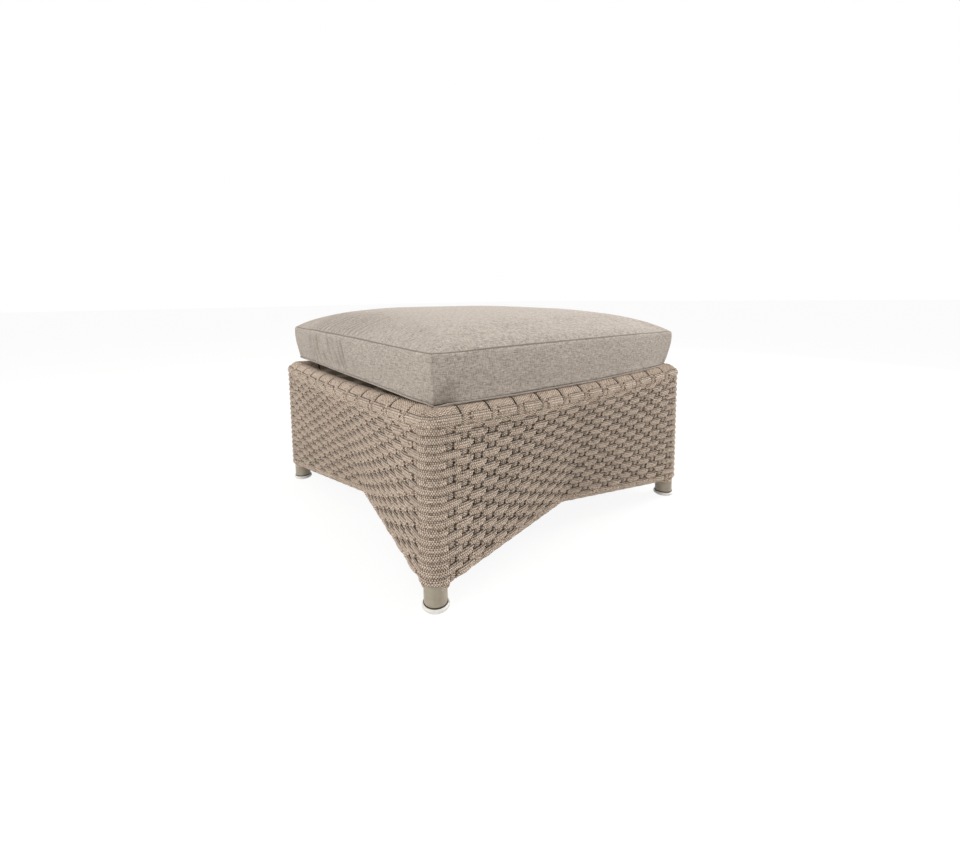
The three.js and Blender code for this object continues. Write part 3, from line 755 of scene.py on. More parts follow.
@dataclass
class RopeSkirt:
    """The woven rope on one side: rows, posts, rail turns, rail band and foot turns."""

    finish: bpy.types.Material
    face: WovenFace = field(default_factory=WovenFace)
    cord_radius: float = 1.62 * MM
    cord_faces: int = 6
    cord_spacing: float = 3.2 * MM
    step: float = 0.4 * MM
    # Painted shade on the cords' flanks; every field named with shade below is painted shade too, from 0 to
    # 1.
    flank_shade: float = 0.24

    # Rows, which run level from stitch to stitch
    row_count: int = 19
    rows_in_height: float = 19.6
    cords_per_row: int = 4
    row_span: float = 26.0
    row_places: tuple[float, ...] = (0.20, 0.385, 0.52, 0.605, 0.66, 0.71, 0.80)
    row_bulge: float = 2.0 * MM
    row_ridge: float = 1.85
    stitch_half: float = 15.8 * MM
    stitch_stagger: tuple[float, float] = (0.9, 0.5)
    stitch_powers: tuple[float, float] = (2.6, 0.45)
    right_trim: float = 0.38 * MM
    dive: float = 1.8 * MM
    depth_out: float = -2.2 * MM
    depth_in: float = -8.2 * MM
    end_drop: float = 2.6 * MM
    end_squeeze: float = 0.90
    low_cord_relief: float = 1.5 * MM
    hidden_growth: float = 0.38
    hidden_drop: float = 0.15
    stagger_depth: float = 1.6 * MM
    shade_start: float = 2.4 * MM
    shade_run: float = 3.2 * MM
    rim_shade: float = 1.05

    # Rows where they go round the corners
    short_corner: float = 272.0 * MM
    long_corner: float = 248.0 * MM
    corner_squeeze: float = 0.79
    corner_rounding: float = 7.0 * MM
    corner_run: float = 14.0 * MM
    corner_shade: float = 0.1

    # Posts, which run upright between the rows
    post_pitch: float = 24.15 * MM
    posts_each_way: int = 11
    cords_per_post: int = 4
    post_spacing: float = 2.95 * MM
    depth_post: float = -4.2 * MM
    post_head: float = 250.0 * MM
    post_foot_share: float = 0.985
    post_flush: float = 3.4 * MM
    post_wave: float = 1.2 * MM
    post_arch: float = 0.35 * MM
    post_rail_end: tuple[float, float] = (0.04, 0.03)
    post_shade: float = 0.14
    post_side_shade: float = 0.85

    # Turns round the top rail, with a dark line where each length of them begins: a gap, and a turn tucked
    # under it in painted shade
    first_line: float = -245.6 * MM
    line_pitch: float = 48.3 * MM
    line_count: int = 11
    turns_per_line: int = 16
    rail_offset: float = 279.5 * MM
    rail_height: float = 248.0 * MM
    rail_sag: float = 5.0 * MM
    rail_turn_radius: float = 18.8 * MM
    rail_girth: float = 118.0 * MM
    rail_corner_ease: float = 4.0 * MM
    gap: float = 2.1 * MM
    gap_growth: float = 2.0 * MM
    band_bed: float = 1.2 * MM
    edge_dip: float = 0.5 * MM
    under_dip: float = 1.9 * MM
    turn_shade: float = 0.22
    turn_fullness: float = 0.95
    turns_before_band: float = 3.5
    band_reach: float = 0.86
    edge_shade: float = 0.7
    edge_clearance: float = 0.5 * MM
    mitre_run: float = 2.0 * MM
    mitre_arm: float = 0.3 * MM

    # Long stitches of the band along the rail, placed from the dark line before them
    band_height: float = 247.4 * MM
    band_depth: float = 4.9 * MM
    band_start: float = 12.6 * MM
    band_end: float = 45.9 * MM
    band_ease: float = 2.2 * MM
    band_end_ease: float = 2.0 * MM
    band_short: float = 2.4 * MM
    band_rise: float = 5.6 * MM
    band_curve: float = 20.5 * MM
    band_fullness: float = 1.4 * MM
    band_squeeze: float = 0.7
    band_sink: float = 0.3 * MM
    band_end_shade: float = 0.9
    band_low_shade: float = 0.8

    # Turns round the lower bar
    turn_pitch: float = 3.45 * MM
    bar_end: Point = (0.0, -285.5 * MM, 41.0 * MM)
    bar_middle: Point = (0.0, -243.5 * MM, 60.0 * MM)
    bar_wrap_half: float = 258.0 * MM
    bar_turn_radius: float = 8.8 * MM
    bar_girth: float = 49.0 * MM
    bar_turn_shift: float = 3.0 * MM
    post_reach: float = 5.4 * MM
    post_ease: float = 1.6 * MM
    post_fullness: float = 0.4 * MM

    # Turns round a leg
    leg_wrap_foot: float = 30.4 * MM
    leg_wrap_head: float = 242.0 * MM
    leg_turn_radius: float = 18.0 * MM
    leg_girth: float = 112.0 * MM
    corner_clearance: float = 3.6 * MM

    def rows(self) -> bpy.types.Mesh:
        """The front side's level rows, each of four cords side by side, out to the corners' diagonals."""
        cords = Cords("woven_rows", self.row_count * self.cords_per_row, self.post_pitch, self)
        graph, pitch, sine, cosine = cords.graph, cords.pitch, cords.sine, cords.cosine
        row, cord = cords.strand.split(float(self.cords_per_row))
        _, odd = row.split(2.0)
        count = (cords.share - 0.5) * self.row_span + odd
        centre = count.to_nearest(2.0)
        offset = count - centre
        curve = graph.node("ShaderNodeFloatCurve", {"Value": offset.size()})
        spacing = curve.mapping.curves[0]
        for number, place in enumerate(self.row_places, 1):
            spacing.points.new(number / (len(self.row_places) + 1), place)
        for point in spacing.points:
            point.handle_type = "VECTOR"
        curve.mapping.update()
        eased = Term(graph, curve.outputs[0])
        along = (centre + eased * offset.sign() - odd) * pitch
        along = along.at_least(-self.face.half_run).at_most(self.face.half_run)
        corner_start = self.short_corner - odd * (self.short_corner - self.long_corner)
        longer, step = self.stitch_stagger
        half = (longer - cord * step) * MM + self.stitch_half
        steep, blunt = self.stitch_powers
        middle = (self.cords_per_row - 1) / 2

        def away(at: Term) -> Term:
            """Distance from the middle of the nearest stitch, as a share of its half length."""
            steps = at / pitch + odd
            local = steps - steps.to_nearest(2.0)
            trim = local.sign().at_least(0.0) * cord * cord * self.right_trim
            return local.size() * pitch / (half - trim)

        def over(at: Term) -> Term:
            """How far the row is out over a post, from 0 to 1."""
            edge = self.dive / self.stitch_half
            out = 1.0 - away(at).step(1.0 - edge / 2, edge)
            corner = at.size().step(corner_start - self.dive / 2, self.dive)
            return out.at_least(corner)

        def fall(at: Term) -> Term:
            """Rounding of a stitch towards its ends, from 0 at its middle to 1."""
            stitch = 1.0 - (1.0 - away(at).at_most(1.0).power(steep)).power(blunt)
            corner = (1.0 - (at.size() - corner_start) / self.corner_rounding).at_least(0.0)
            return stitch.at_most(corner * corner)

        def depth(at: Term) -> Term:
            """Distance of the row's middle from the face."""
            drop = fall(at) * (self.end_drop - (cord - 2.0).at_least(0.0) * self.low_cord_relief)
            return over(at) * (self.depth_out - self.depth_in - drop) + self.depth_in

        slope = (depth(along + self.step) - depth(along - self.step)) / (2 * self.step)
        tilt = slope.arctan()
        out = over(along)
        narrow = away(along).at_most(1.0).power(3.0) * (1.0 - self.end_squeeze)
        held = along.size().step(corner_start, self.corner_run)
        out_spread = (1.0 - narrow) * (1.0 - held) + held * self.corner_squeeze
        full = out.step(0.5, 0.35)
        radius = cords.radius * (1.0 + (1.0 - full) * self.hidden_growth)
        apart = eased.step(0.86, 0.12) * 0.32 + 1.04
        spread = out_spread * full + (1.0 - full) * apart
        across = (cord - self.row_ridge) / self.row_ridge
        bulge = (1.0 - across * across) * out * self.row_bulge
        _, alternate = cord.split(2.0)
        stagger = (1.0 - out_spread) * full * alternate * -self.stagger_depth + bulge
        centred = held * (1.0 - self.corner_squeeze) * middle + (1.0 - full) * self.hidden_drop
        level = (cord * spread - middle + centred) * self.cord_spacing
        down = (row + 0.5) / self.rows_in_height + (level + radius * sine) / self.face.drop
        surface = depth(along) + stagger
        proud = surface + radius * cosine * tilt.cos()
        # Painted shade: deeper with the row's depth behind the face, on the outer edges of the top and bottom
        # cords, on the flanks and at the corners.
        top_side = (0.5 - cord).at_least(0.0) * (-sine).at_least(0.0)
        low_side = (cord - 2.5).at_least(0.0) * sine.at_least(0.0)
        rim = (top_side + low_side) * 2.0
        painted_shade = ((-surface - self.shade_start) / self.shade_run).at_least(0.0)
        painted_shade = painted_shade + rim * rim * out * (self.rim_shade - held * 0.35) + held * self.corner_shade
        painted_shade = painted_shade + sine * sine * out * self.flank_shade
        place = self.face.place(graph, along - radius * cosine * tilt.sin(), down, proud)
        return cords.close(place, along, steps=int(self.row_span) * 8 + 1, painted_shade=painted_shade)

    def posts(self) -> bpy.types.Mesh:
        """The front side's upright cords, four to a post, from the rail to the foot."""
        count = (2 * self.posts_each_way + 1) * self.cords_per_post
        cords = Cords("woven_posts", count, self.post_pitch, self)
        sine, cosine, radius = cords.sine, cords.cosine, cords.radius
        post, cord = cords.strand.split(float(self.cords_per_post))
        odd = 1.0 - post.split(2.0)[1]
        number = post - float(self.posts_each_way)
        top_down = (self.face.top - self.post_head) / self.face.drop
        down = cords.share * (self.post_foot_share - top_down) + top_down
        wave = ((down * self.rows_in_height - 0.5) * math.pi).cos() * (odd * 2.0 - 1.0)
        over_rail = 1.0 - down.step(*self.post_rail_end)
        flush = over_rail * (1.0 - odd) * self.post_flush
        depth = wave * self.post_wave + self.depth_post + flush
        middle = (self.cords_per_post - 1) / 2
        rank = cord - middle
        along = number * cords.pitch + rank * self.post_spacing - radius * sine
        arch = rank * rank * -self.post_arch
        place = self.face.place(cords.graph, along, down, depth + arch + radius * cosine)
        # Painted shade on the posts: a base amount, less over the rail, more on the sides of the outer cords.
        side = rank * (1.0 / middle) * -sine
        painted_shade = self.post_shade - over_rail * 0.08 + side.at_least(0.0) * self.post_side_shade
        return cords.close(place, down * self.face.drop, steps=60, painted_shade=painted_shade)

    def rail_level(self, at: Term) -> Term:
        """Height of the rail's middle, which dips a little between the corners."""
        run = (at.size() / self.face.corner_centre).at_most(1.0)
        return self.rail_height - (1.0 - run * run) * self.rail_sag

    def rail_turns(self) -> bpy.types.Mesh:
        """The front side's turns round the top rail, sixteen from one dark line to the next."""
        per_line = self.turns_per_line
        cords = Cords("rail_turns", (self.line_count + 3) * (per_line + 1), self.line_pitch, self)
        line, sine, cosine = cords.pitch, cords.sine, cords.cosine
        module, number = cords.strand.split(float(per_line + 1))
        under = (number - (per_line - 0.5)).at_least(0.0) * 2.0
        across, up = cords.spin()
        gap = across.at_least(0.0) * (1.0 - up) * self.gap_growth + self.gap
        before = (0.5 - module).at_least(0.0) * 2.0
        after = (module - (self.line_count - 0.5)).at_least(0.0).sign()
        place_in = (number + 0.5) / per_line
        inner = place_in * (line - gap) + gap * 0.5 + (before + after) * place_in * gap - before * gap
        inner = inner * (1.0 - under) + line * under
        along = (module - 1.0) * line + self.first_line + inner
        limit = self.face.half_run - self.edge_clearance
        along = along.at_least(-limit).at_most(limit)
        radius = cords.radius * self.turn_fullness
        tucked = (number - self.turns_before_band).sign().at_least(0.0)
        outside = ((across - self.band_reach) / (1.0 - self.band_reach)).at_least(0.0)
        spot = number * 2.0 / (per_line - 1) - 1.0
        edge = (spot.size().at_most(1.0).power(8.0) * (1.0 - before - after)).at_least(0.0)
        dip = outside * tucked * self.band_bed + edge * self.edge_dip + under * self.under_dip
        turn = self.rail_turn_radius + radius * cosine - dip
        at = along + radius * sine
        far = at.size()
        corner = self.face.corner_centre
        swing = (far - corner).at_least(0.0) / self.face.corner_radius
        arm = turn * across + self.rail_corner_ease
        cornered = (far - corner + self.mitre_run).step(0.0, self.mitre_run)
        arm = arm.at_least(self.mitre_arm) * cornered + arm * (1.0 - cornered)
        x = far.at_most(corner) + arm * swing.sin()
        y = -corner - arm * swing.cos()
        x = x.at_most(y.size())
        z = self.rail_level(at) + turn * up
        place = cords.graph.combine(x * at.sign(), y, z)
        # Painted shade: full on the turn tucked under the dark line, on the inner sides of the end turns, and
        # on every turn's flanks.
        inward = (spot * sine).at_least(0.0) * edge
        painted_shade = under + inward * self.edge_shade + sine * sine * self.turn_shade
        return cords.close(place, cords.share * self.rail_girth, steps=21, painted_shade=painted_shade)

    def rail_band(self) -> bpy.types.Mesh:
        """The front side's long level stitches on the rail, from one dark line to the next."""
        cords = Cords("rail_band", self.cords_per_row, self.line_pitch, self)
        graph, line, strand = cords.graph, cords.pitch, cords.strand
        sine, cosine, radius = cords.sine, cords.cosine, cords.radius
        along = (cords.share - 0.5) * (2.0 * self.face.half_run)
        last = self.first_line + (self.line_count - 1) * self.line_pitch

        def over(at: Term) -> Term:
            """How far the band is out, from 0 between its stitches to 1 on them."""
            local = (at - self.first_line) / line
            local = (local - local.floor()) * line
            start, ease = self.band_start, self.band_ease
            out = local.step(start, ease) * (1.0 - local.step(self.band_end, self.band_end_ease))
            left = 1.0 - at.step(self.first_line - self.band_short, ease)
            right = at.step(last + start, ease)
            return out.at_least(left).at_least(right)

        out = over(along)
        depth = out * self.band_depth - self.band_depth
        rise_out = over(along + self.step) - over(along - self.step)
        tilt = (rise_out * (self.band_depth / (2 * self.step))).arctan()
        squeeze = out * (1.0 - self.band_squeeze) + self.band_squeeze
        height = (strand - (self.cords_per_row - 1) / 2) * squeeze * self.cord_spacing + radius * sine
        lift = (along / self.face.corner_centre).size().at_most(1.0)
        level = height + lift * lift * self.band_rise + self.band_height
        rise = level - self.rail_level(along)
        curve = rise * rise * (-0.5 / self.band_curve)
        down = (self.face.top - level) / self.face.drop
        rank = (strand - 1.7) / 1.8
        full = (1.0 - rank * rank) * out * self.band_fullness
        proud = depth + curve + radius * cosine * tilt.cos() + full - self.band_sink
        at = along - radius * cosine * tilt.sin()
        x, y, _ = graph.separate(self.face.place(graph, at, down * 0.0, proud))
        place = graph.combine(x, y, level)
        # Painted shade between the band's stitches, under its lowest cord and on the flanks.
        low_side = (strand - 2.5).at_least(0.0) * 2.0 * sine.at_least(0.0)
        painted_shade = (1.0 - out) * self.band_end_shade + low_side * self.band_low_shade
        painted_shade = painted_shade + sine * sine * self.flank_shade
        return cords.close(place, along, steps=361, painted_shade=painted_shade)

    def bar_turns(self) -> bpy.types.Mesh:
        """The front side's turns round the bent lower bar, fuller where a post ends in them."""
        count = 2 * int(self.bar_wrap_half / self.turn_pitch) + 1
        cords = Cords("bar_turns", count, self.turn_pitch, self)
        sine, cosine, radius = cords.sine, cords.cosine, cords.radius
        across, up = cords.spin()
        centre = (cords.strand - (count - 1) / 2) * cords.pitch
        at = centre + radius * sine
        aside = (centre - centre.to_nearest(self.post_pitch)).size()
        full = (1.0 - aside.step(self.post_reach, self.post_ease)) * self.post_fullness
        far = at.size()
        run = self.rail_offset - self.rail_corner_ease
        share_out = (far / run).at_most(1.0)
        _, end_y, end_z = self.bar_end
        _, mid_y, mid_z = self.bar_middle
        lean = math.atan2(mid_y - end_y, run)
        turn = self.bar_turn_radius + full + radius * cosine
        easing = (far / self.face.kink_softness).at_most(1.0) * lean
        arm = turn * across + self.bar_turn_shift
        x = far - arm * easing.sin()
        y = mid_y + share_out * (end_y - mid_y) - arm * easing.cos()
        z = mid_z + share_out * (end_z - mid_z) + turn * up
        place = cords.graph.combine(x * at.sign(), y, z)
        return cords.close(place, cords.share * self.bar_girth, steps=15)

    def leg_turns(self) -> bpy.types.Mesh:
        """The turns round the front left leg behind the corner stitches, up to the rail's corner."""
        count = int((self.leg_wrap_head - self.leg_wrap_foot) / self.turn_pitch)
        cords = Cords("leg_turns", count, self.turn_pitch, self)
        sine, cosine, radius = cords.sine, cords.cosine, cords.radius
        across, up = cords.spin()
        turn = self.leg_turn_radius + radius * cosine
        centre = self.face.corner_centre
        shift = self.rail_offset - centre
        x = turn * across - shift
        y = turn * up - shift
        reach = (x * x + y * y).root()
        limit = (self.face.corner_radius - self.corner_clearance - radius + radius * cosine) / reach
        outer = (-x.at_most(y)).sign().at_least(0.0)
        shrink = limit.at_most(1.0) * outer + (1.0 - outer)
        z = cords.strand * cords.pitch + self.leg_wrap_foot + radius * sine
        place = cords.graph.combine(x * shrink - centre, y * shrink - centre, z)
        return cords.close(place, cords.share * self.leg_girth, steps=21)

    def build(self) -> None:
        """Makes every side and corner, and sets them on the frame in place of its plain rope solids."""
        hand_in_round("woven_rows", self.rows(), Side, "rope", "woven_skirt")
        hand_in_round("woven_posts", self.posts(), Side, "rope")
        hand_in_round("rail_turns", self.rail_turns(), Side, "rope", "rail_wrap")
        hand_in_round("rail_band", self.rail_band(), Side, "rope")
        hand_in_round("bar_turns", self.bar_turns(), Side, "rope", "lower_bar_wrap")
        hand_in_round("leg_turns", self.leg_turns(), Corner, "rope", "leg_wrap", "corner_wrap")


# Cushion


@dataclass
class Piping:
    """A thin fabric cord sewn along a closed edge."""

    finish: bpy.types.Material
    radius: float = 1.3 * MM
    steps: int = 480
    sides: int = 8
    girth: float = 9.0 * MM
    stand_out: float = 0.4 * MM

    def _tree(self) -> Graph:
        """A round cord along the edges of the mesh that it is given."""
        graph = Graph.shape("piping", {"Radius": 0.001, "Steps": 100, "Material": "Material"})
        line = graph.geo("MeshToCurve", Mesh=graph.given("Geometry"))
        curved = graph.geo("CurveSplineType", {"spline_type": "CATMULL_ROM"}, Curve=line)
        even = graph.geo("ResampleCurve", Curve=curved, Count=graph.given("Steps"))
        profile = graph.geo("CurvePrimitiveCircle", Resolution=self.sides, Radius=graph.given("Radius"))
        shares = graph.node("GeometryNodeSplineParameter").outputs
        run = graph.store(even, "run", Term(graph, shares["Length"]))
        turn = graph.store(profile, "turn", Term(graph, shares["Factor"]))
        tube = graph.geo("CurveToMesh", Curve=run, Profile_Curve=turn)
        flat = graph.combine(graph.stored("run"), graph.stored("turn") * self.girth)
        cloth = graph.store(tube, "cloth", flat, "FLOAT2", "CORNER")
        graph.give("Geometry", graph.dressed(graph.smooth(cloth)))
        return graph

    def build(self, name: str, points: list[Vector], node: str) -> None:
        """Sews the cord along a closed line of points.

        Args:
            name: Name of the piece.
            points: The line, in order.
            node: The plain solid that the cord stands for.
        """
        base = bpy.data.meshes.new(name)
        outward = [Vector((p.x, p.y, 0.0)).normalized() * self.stand_out for p in points]
        places = [p + o + Vector((0.0, 0.0, self.stand_out)) for p, o in zip(points, outward)]
        count = len(places)
        base.from_pydata(places, [(i, (i + 1) % count) for i in range(count)], [])
        settings = {"Radius": self.radius, "Steps": self.steps, "Material": self.finish}
        hand_in(name, grow(name, self._tree(), settings, base), "cushion", "cushion_fabric", node)


@dataclass
class Zip:
    """The zip's tape with its stitches, and the coil of small loops that the slider closes."""

    tape_finish: bpy.types.Material
    coil_finish: bpy.types.Material
    length: float = 430.0 * MM
    width: float = 26.0 * MM
    height: float = 306.1 * MM
    tape_back: float = 284.9 * MM
    tape_face: float = 286.2 * MM
    coil_depth: float = 287.3 * MM
    coil_radius: float = 1.15 * MM
    wire_radius: float = 0.28 * MM
    coil_pitch: float = 1.7 * MM
    coil_half: float = 0.75 * MM
    coil_tilt: float = 0.16
    end_clearance: float = 12.0 * MM
    stitch_pitch: float = 4.2 * MM
    stitch_half: float = 9.5 * MM
    stitch_size: tuple[float, float] = (0.95 * MM, 0.22 * MM)
    stitch_scale: Point = (1.6, 0.35, 0.35)

    def _loops(
        self, graph: Graph, pitch: float, start: Point, size: tuple[float, float], axis: Point
    ) -> Term:
        """One line of wire loops along the tape.

        Args:
            graph: The tree.
            pitch: Distance between loops.
            start: The line's lag in steps, its depth and its height over the zip's middle.
            size: Radius of the loop and of its wire.
            axis: What the loops turn about.

        Returns:
            The loops, still as instances.
        """
        count = int((self.length - self.end_clearance) / pitch)
        lag, depth, rise = start
        first = ((-(count - 1) / 2 + lag - 0.25) * pitch, depth, self.height + rise)
        row = graph.geo("MeshLine", Count=count, Start_Location=first, Offset=(pitch, 0.0, 0.0))
        ring = graph.geo("CurvePrimitiveCircle", Resolution=10, Radius=size[0])
        wire = graph.geo("CurvePrimitiveCircle", Resolution=4, Radius=size[1])
        tube = graph.geo("CurveToMesh", Curve=ring, Profile_Curve=wire)
        aim = graph.node("FunctionNodeAlignRotationToVector", {"Vector": axis}, axis="Z")
        turned = Term(graph, aim.outputs[0])
        return graph.geo("InstanceOnPoints", Points=row, Instance=tube, Rotation=turned)

    def _tree(self) -> Graph:
        """A tape with a slight wave, two rows of coil loops and two lines of stitches."""
        graph = Graph.shape("zip", {"Length": 0.4, "Width": 0.03, "Tape": "Material", "Coil": "Material"})
        length, width = graph.given("Length"), graph.given("Width")
        size = graph.combine(length, self.tape_face - self.tape_back, width)
        block = graph.geo("MeshCube", Size=size, Vertices_X=120, Vertices_Y=2, Vertices_Z=14)
        x, y, z = graph.separate(graph.geo("InputPosition"))
        wave = (x * 31.0).sin() * (z * 4.0)
        ridge = (1.0 - (z.size() / (4.0 * MM)).at_most(1.0)) * (-0.35 * MM)
        middle = (self.tape_face + self.tape_back) / 2
        place = graph.combine(x, y + ridge + middle, z * (wave * 0.02 + 1.0) + self.height)
        bent = graph.geo("SetPosition", Geometry=block, Position=place)
        cloth = graph.store(bent, "cloth", graph.combine(x, z + y * 2.0), "FLOAT2", "CORNER")
        parts = [graph.geo("SetMaterial", Geometry=cloth, Material=graph.given("Tape"))]
        loop = (self.coil_radius, self.wire_radius)
        for sign, lag in ((1.0, 0.0), (-1.0, 0.5)):
            start, axis = (lag, self.coil_depth, sign * self.coil_half), (1.0, sign * self.coil_tilt, 0.0)
            coil = self._loops(graph, self.coil_pitch, start, loop, axis)
            parts.append(graph.dressed(coil, "Coil"))
        for sign, lag in ((1.0, 0.0), (-1.0, 0.3)):
            start = (lag, self.tape_face, sign * self.stitch_half)
            line = self._loops(graph, self.stitch_pitch, start, self.stitch_size, (0.0, 0.0, 1.0))
            flat = graph.geo("ScaleInstances", Instances=line, Scale=self.stitch_scale)
            parts.append(graph.dressed(flat, "Tape"))
        joined = graph.node("GeometryNodeJoinGeometry")
        for part in parts:
            graph.tree.links.new(part.socket, joined.inputs[0])
        real = graph.geo("RealizeInstances", Geometry=Term(graph, joined.outputs[0]))
        graph.give("Geometry", graph.smooth(real))
        return graph

    def build(self) -> None:
        """Makes the zip on the back band in place of its plain solid."""
        settings = {"Length": self.length, "Width": self.width}
        settings |= {"Tape": self.tape_finish, "Coil": self.coil_finish}
        hand_in("zip_chain", grow("zip_chain", self._tree(), settings), "cushion", "zip_tape", "zip_tape")


@dataclass
class Cushion:
    """The loose box cushion: crowned top, sewn side band, flat foot, piped lower edge."""

    finish: bpy.types.Material
    piping: Piping

    # The sewn form before it is filled
    half: float = 287.4 * MM
    seam_corner: float = 3.0 * MM
    foot_corner: float = 8.0 * MM
    foot: float = 271.4 * MM
    seam_height: float = 338.6 * MM
    crown: float = 40.5 * MM
    crown_powers: tuple[float, float] = (3.2, 0.6)
    rings: int = 34
    band_bulge: float = 0.010
    foot_in: float = 0.008
    band_shares: tuple[float, ...] = (0.06, 0.19, 0.33, 0.47, 0.61, 0.75, 0.88, 0.955, 1.0)

    cloth_patches: tuple[float, ...] = (3.0, 7.0, 11.0)

    # The filling
    pressure: float = 3.2
    cap: float = 7.0 * MM
    frames: int = 20

    # How the cover lies on the frame, with lifts of its foot in millimetres by place along the side
    left_lift: Table = ((-288, -2.2), (-220, -0.4), (-112, 2.8), (5, 4.8), (100, 7.2), (193, 8.8), (288, 6.0))
    front_lift: Table = (
        (-288, -2.6), (-256, -2.8), (-208, -4.2), (-141, -6.4),
        (51, -8.4), (144, -6.8), (257, -4.6), (288, -3.6),
    )
    lift_reaches: Table = ((0.18, 0.28), (0.268, 0.286))
    seam_lifts: tuple[float, ...] = (-3.0 * MM, 8.0 * MM, -5.5 * MM, 0.0)
    right_stretch: float = 12.0 * MM
    left_inset: float = 3.5 * MM
    corner_draw: float = 11.0 * MM
    draw_reach: float = 75.0 * MM
    tuck_reach: float = 50.0 * MM
    tuck_height: float = 20.0 * MM
    tuck_move: tuple[float, float] = (6.0 * MM, 2.0 * MM)
    seam_groove: float = 1.8 * MM

    # The flat bed of the zip's tape
    tape_bed: float = 284.6 * MM
    bed_half: float = 236.0 * MM
    bed_height: float = 20.0 * MM
    bed_middle: float = 306.0 * MM
    bed_end_ease: float = 12.0 * MM
    bed_edge_ease: float = 4.0 * MM

    # Folds of the band, creases of the top, the dart at the near corner, and unevenness
    fold_pitch: float = 22.5 * MM
    fold_depth: float = 4.2 * MM
    fold_window: tuple[float, ...] = (-0.07, -0.02, 0.14, 0.20)
    crease_pitch: float = 34.0 * MM
    crease_depth: float = 3.0 * MM
    crease_window: tuple[float, ...] = (-0.12, 0.0, 0.14, 0.22)
    dart_depth: float = 4.5 * MM
    dart_ridge: float = 2.4 * MM
    dart_slope: float = 0.72
    dart_width: float = 6.0 * MM
    # Painted shade along the dart's ridge.
    dart_mark: float = 0.8
    unevenness: float = 1.8 * MM
    top_unevenness: float = 1.4 * MM
    noise_scale: float = 11.0
    noise_start: Point = (3.0, 8.0, 1.0)

    def _outline(self, side: int, share: float, half: float, corner: float) -> tuple[float, float]:
        """A point of the rounded square outline.

        Args:
            side: Quarter turns from the front.
            share: Place along that side, from minus one to one at the corners' diagonals.
            half: Half the outline's width.
            corner: Radius of the outline's corners at full width.

        Returns:
            The point in plan.
        """
        radius = corner * half / self.half
        straight = half - radius
        arc = radius * math.pi / 4
        away = abs(share) * (straight + arc)
        if away <= straight:
            x, y = away, -half
        else:
            angle = (away - straight) / radius
            x, y = straight + radius * math.sin(angle), -straight - radius * math.cos(angle)
        x = math.copysign(x, share)
        for _ in range(side):
            x, y = -y, x
        return x, y

    def _crown_height(self, x: float, y: float) -> float:
        """Height of the top over its seam at a point in plan."""
        u = min(abs(x) / self.half, 1.0)
        v = min(abs(y) / self.half, 1.0)
        side, whole = self.crown_powers
        return self.crown * ((1 - u**side) * (1 - v**side)) ** whole

    def _start_shape(self) -> tuple[bpy.types.Mesh, dict[str, list[int]]]:
        """Sews the panels together as a closed form, a little smaller than the filled cushion.

        Returns:
            The mesh, and the numbers of its points at the seam, the foot's edge and the bottom panel.
        """
        build = bmesh.new()
        count = 2 * (self.rings - 1)
        edge = self._rim_numbers(count)
        cloth = build.loops.layers.uv.new("cloth")
        patch, far_patch, band_patch = self.cloth_patches

        def panel(height: Callable[[float, float], float], upward: bool, rim: list | None) -> list:
            """Fills the outline with a square grid of points and returns its rim."""
            grid = {}
            lag = patch if upward else far_patch
            for i in range(count + 1):
                for j in range(count + 1):
                    u, v = 2 * i / count - 1, 2 * j / count - 1
                    ring = max(abs(u), abs(v))
                    if rim is not None and abs(ring - 1) < 1e-9:
                        continue
                    x, y = self._grid_point(u, v, ring)
                    grid[i, j] = build.verts.new((x, y, height(x, y)))
            if rim is not None:
                grid.update(zip(edge, rim))
            for i in range(count):
                for j in range(count):
                    corners = [grid[i, j], grid[i + 1, j], grid[i + 1, j + 1], grid[i, j + 1]]
                    face = build.faces.new(corners if upward else corners[::-1])
                    for loop in face.loops:
                        loop[cloth].uv = (loop.vert.co.x + patch, loop.vert.co.y + lag)
            return [grid[key] for key in edge]

        top = panel(lambda x, y: self.seam_height + self._crown_height(x, y), True, None)
        previous = top
        perimeter = len(top)
        length = 8 * self.half
        for share in reversed((0.0,) + self.band_shares[:-1]):
            drawn_in = self.foot_in if share == 0.0 else 0.0
            bulge = 1.0 + self.band_bulge * math.sin(math.pi * share) - drawn_in
            z = self.foot + share * (self.seam_height - self.foot)
            corner = self.foot_corner + (self.seam_corner - self.foot_corner) * share
            ring = []
            for k in range(perimeter):
                side, place = divmod(k, count)
                x, y = self._outline(side, 2 * place / count - 1, self.half * bulge, corner)
                ring.append(build.verts.new((x, y, z)))
            for k in range(perimeter):
                following = (k + 1) % perimeter
                face = build.faces.new([previous[k], ring[k], ring[following], previous[following]])
                for loop, number in zip(face.loops, (k, k, k + 1, k + 1)):
                    loop[cloth].uv = (number / perimeter * length, loop.vert.co.z + band_patch)
            previous = ring
        panel(lambda x, y: self.foot, False, previous)
        build.verts.index_update()
        bottom = [v for v in build.verts if v.co.z < self.foot + 1e-6]
        rings = {"seam": top, "edge": previous, "bottom": bottom}
        groups = {name: [v.index for v in ring] for name, ring in rings.items()}
        bmesh.ops.recalc_face_normals(build, faces=build.faces)
        mesh = bpy.data.meshes.new("cushion")
        build.to_mesh(mesh)
        build.free()
        return mesh, groups

    def _grid_point(self, u: float, v: float, ring: float) -> tuple[float, float]:
        """Place in plan of a grid point, so that every ring is a rounded square."""
        if ring < 1e-9:
            return 0.0, 0.0
        size = self.half * min(ring, 1.0)
        if abs(v) >= abs(u):
            side, share = (0, u / ring) if v < 0 else (2, -u / ring)
        else:
            side, share = (1, v / ring) if u > 0 else (3, -v / ring)
        return self._outline(side, share, size, self.seam_corner)

    @staticmethod
    def _rim_numbers(count: int) -> list[tuple[int, int]]:
        """Grid numbers round the rim, counter-clockwise from the front left."""
        rim = [(i, 0) for i in range(count)]
        rim += [(count, j) for j in range(count)]
        rim += [(count - i, count) for i in range(count)]
        rim += [(0, count - j) for j in range(count)]
        return rim

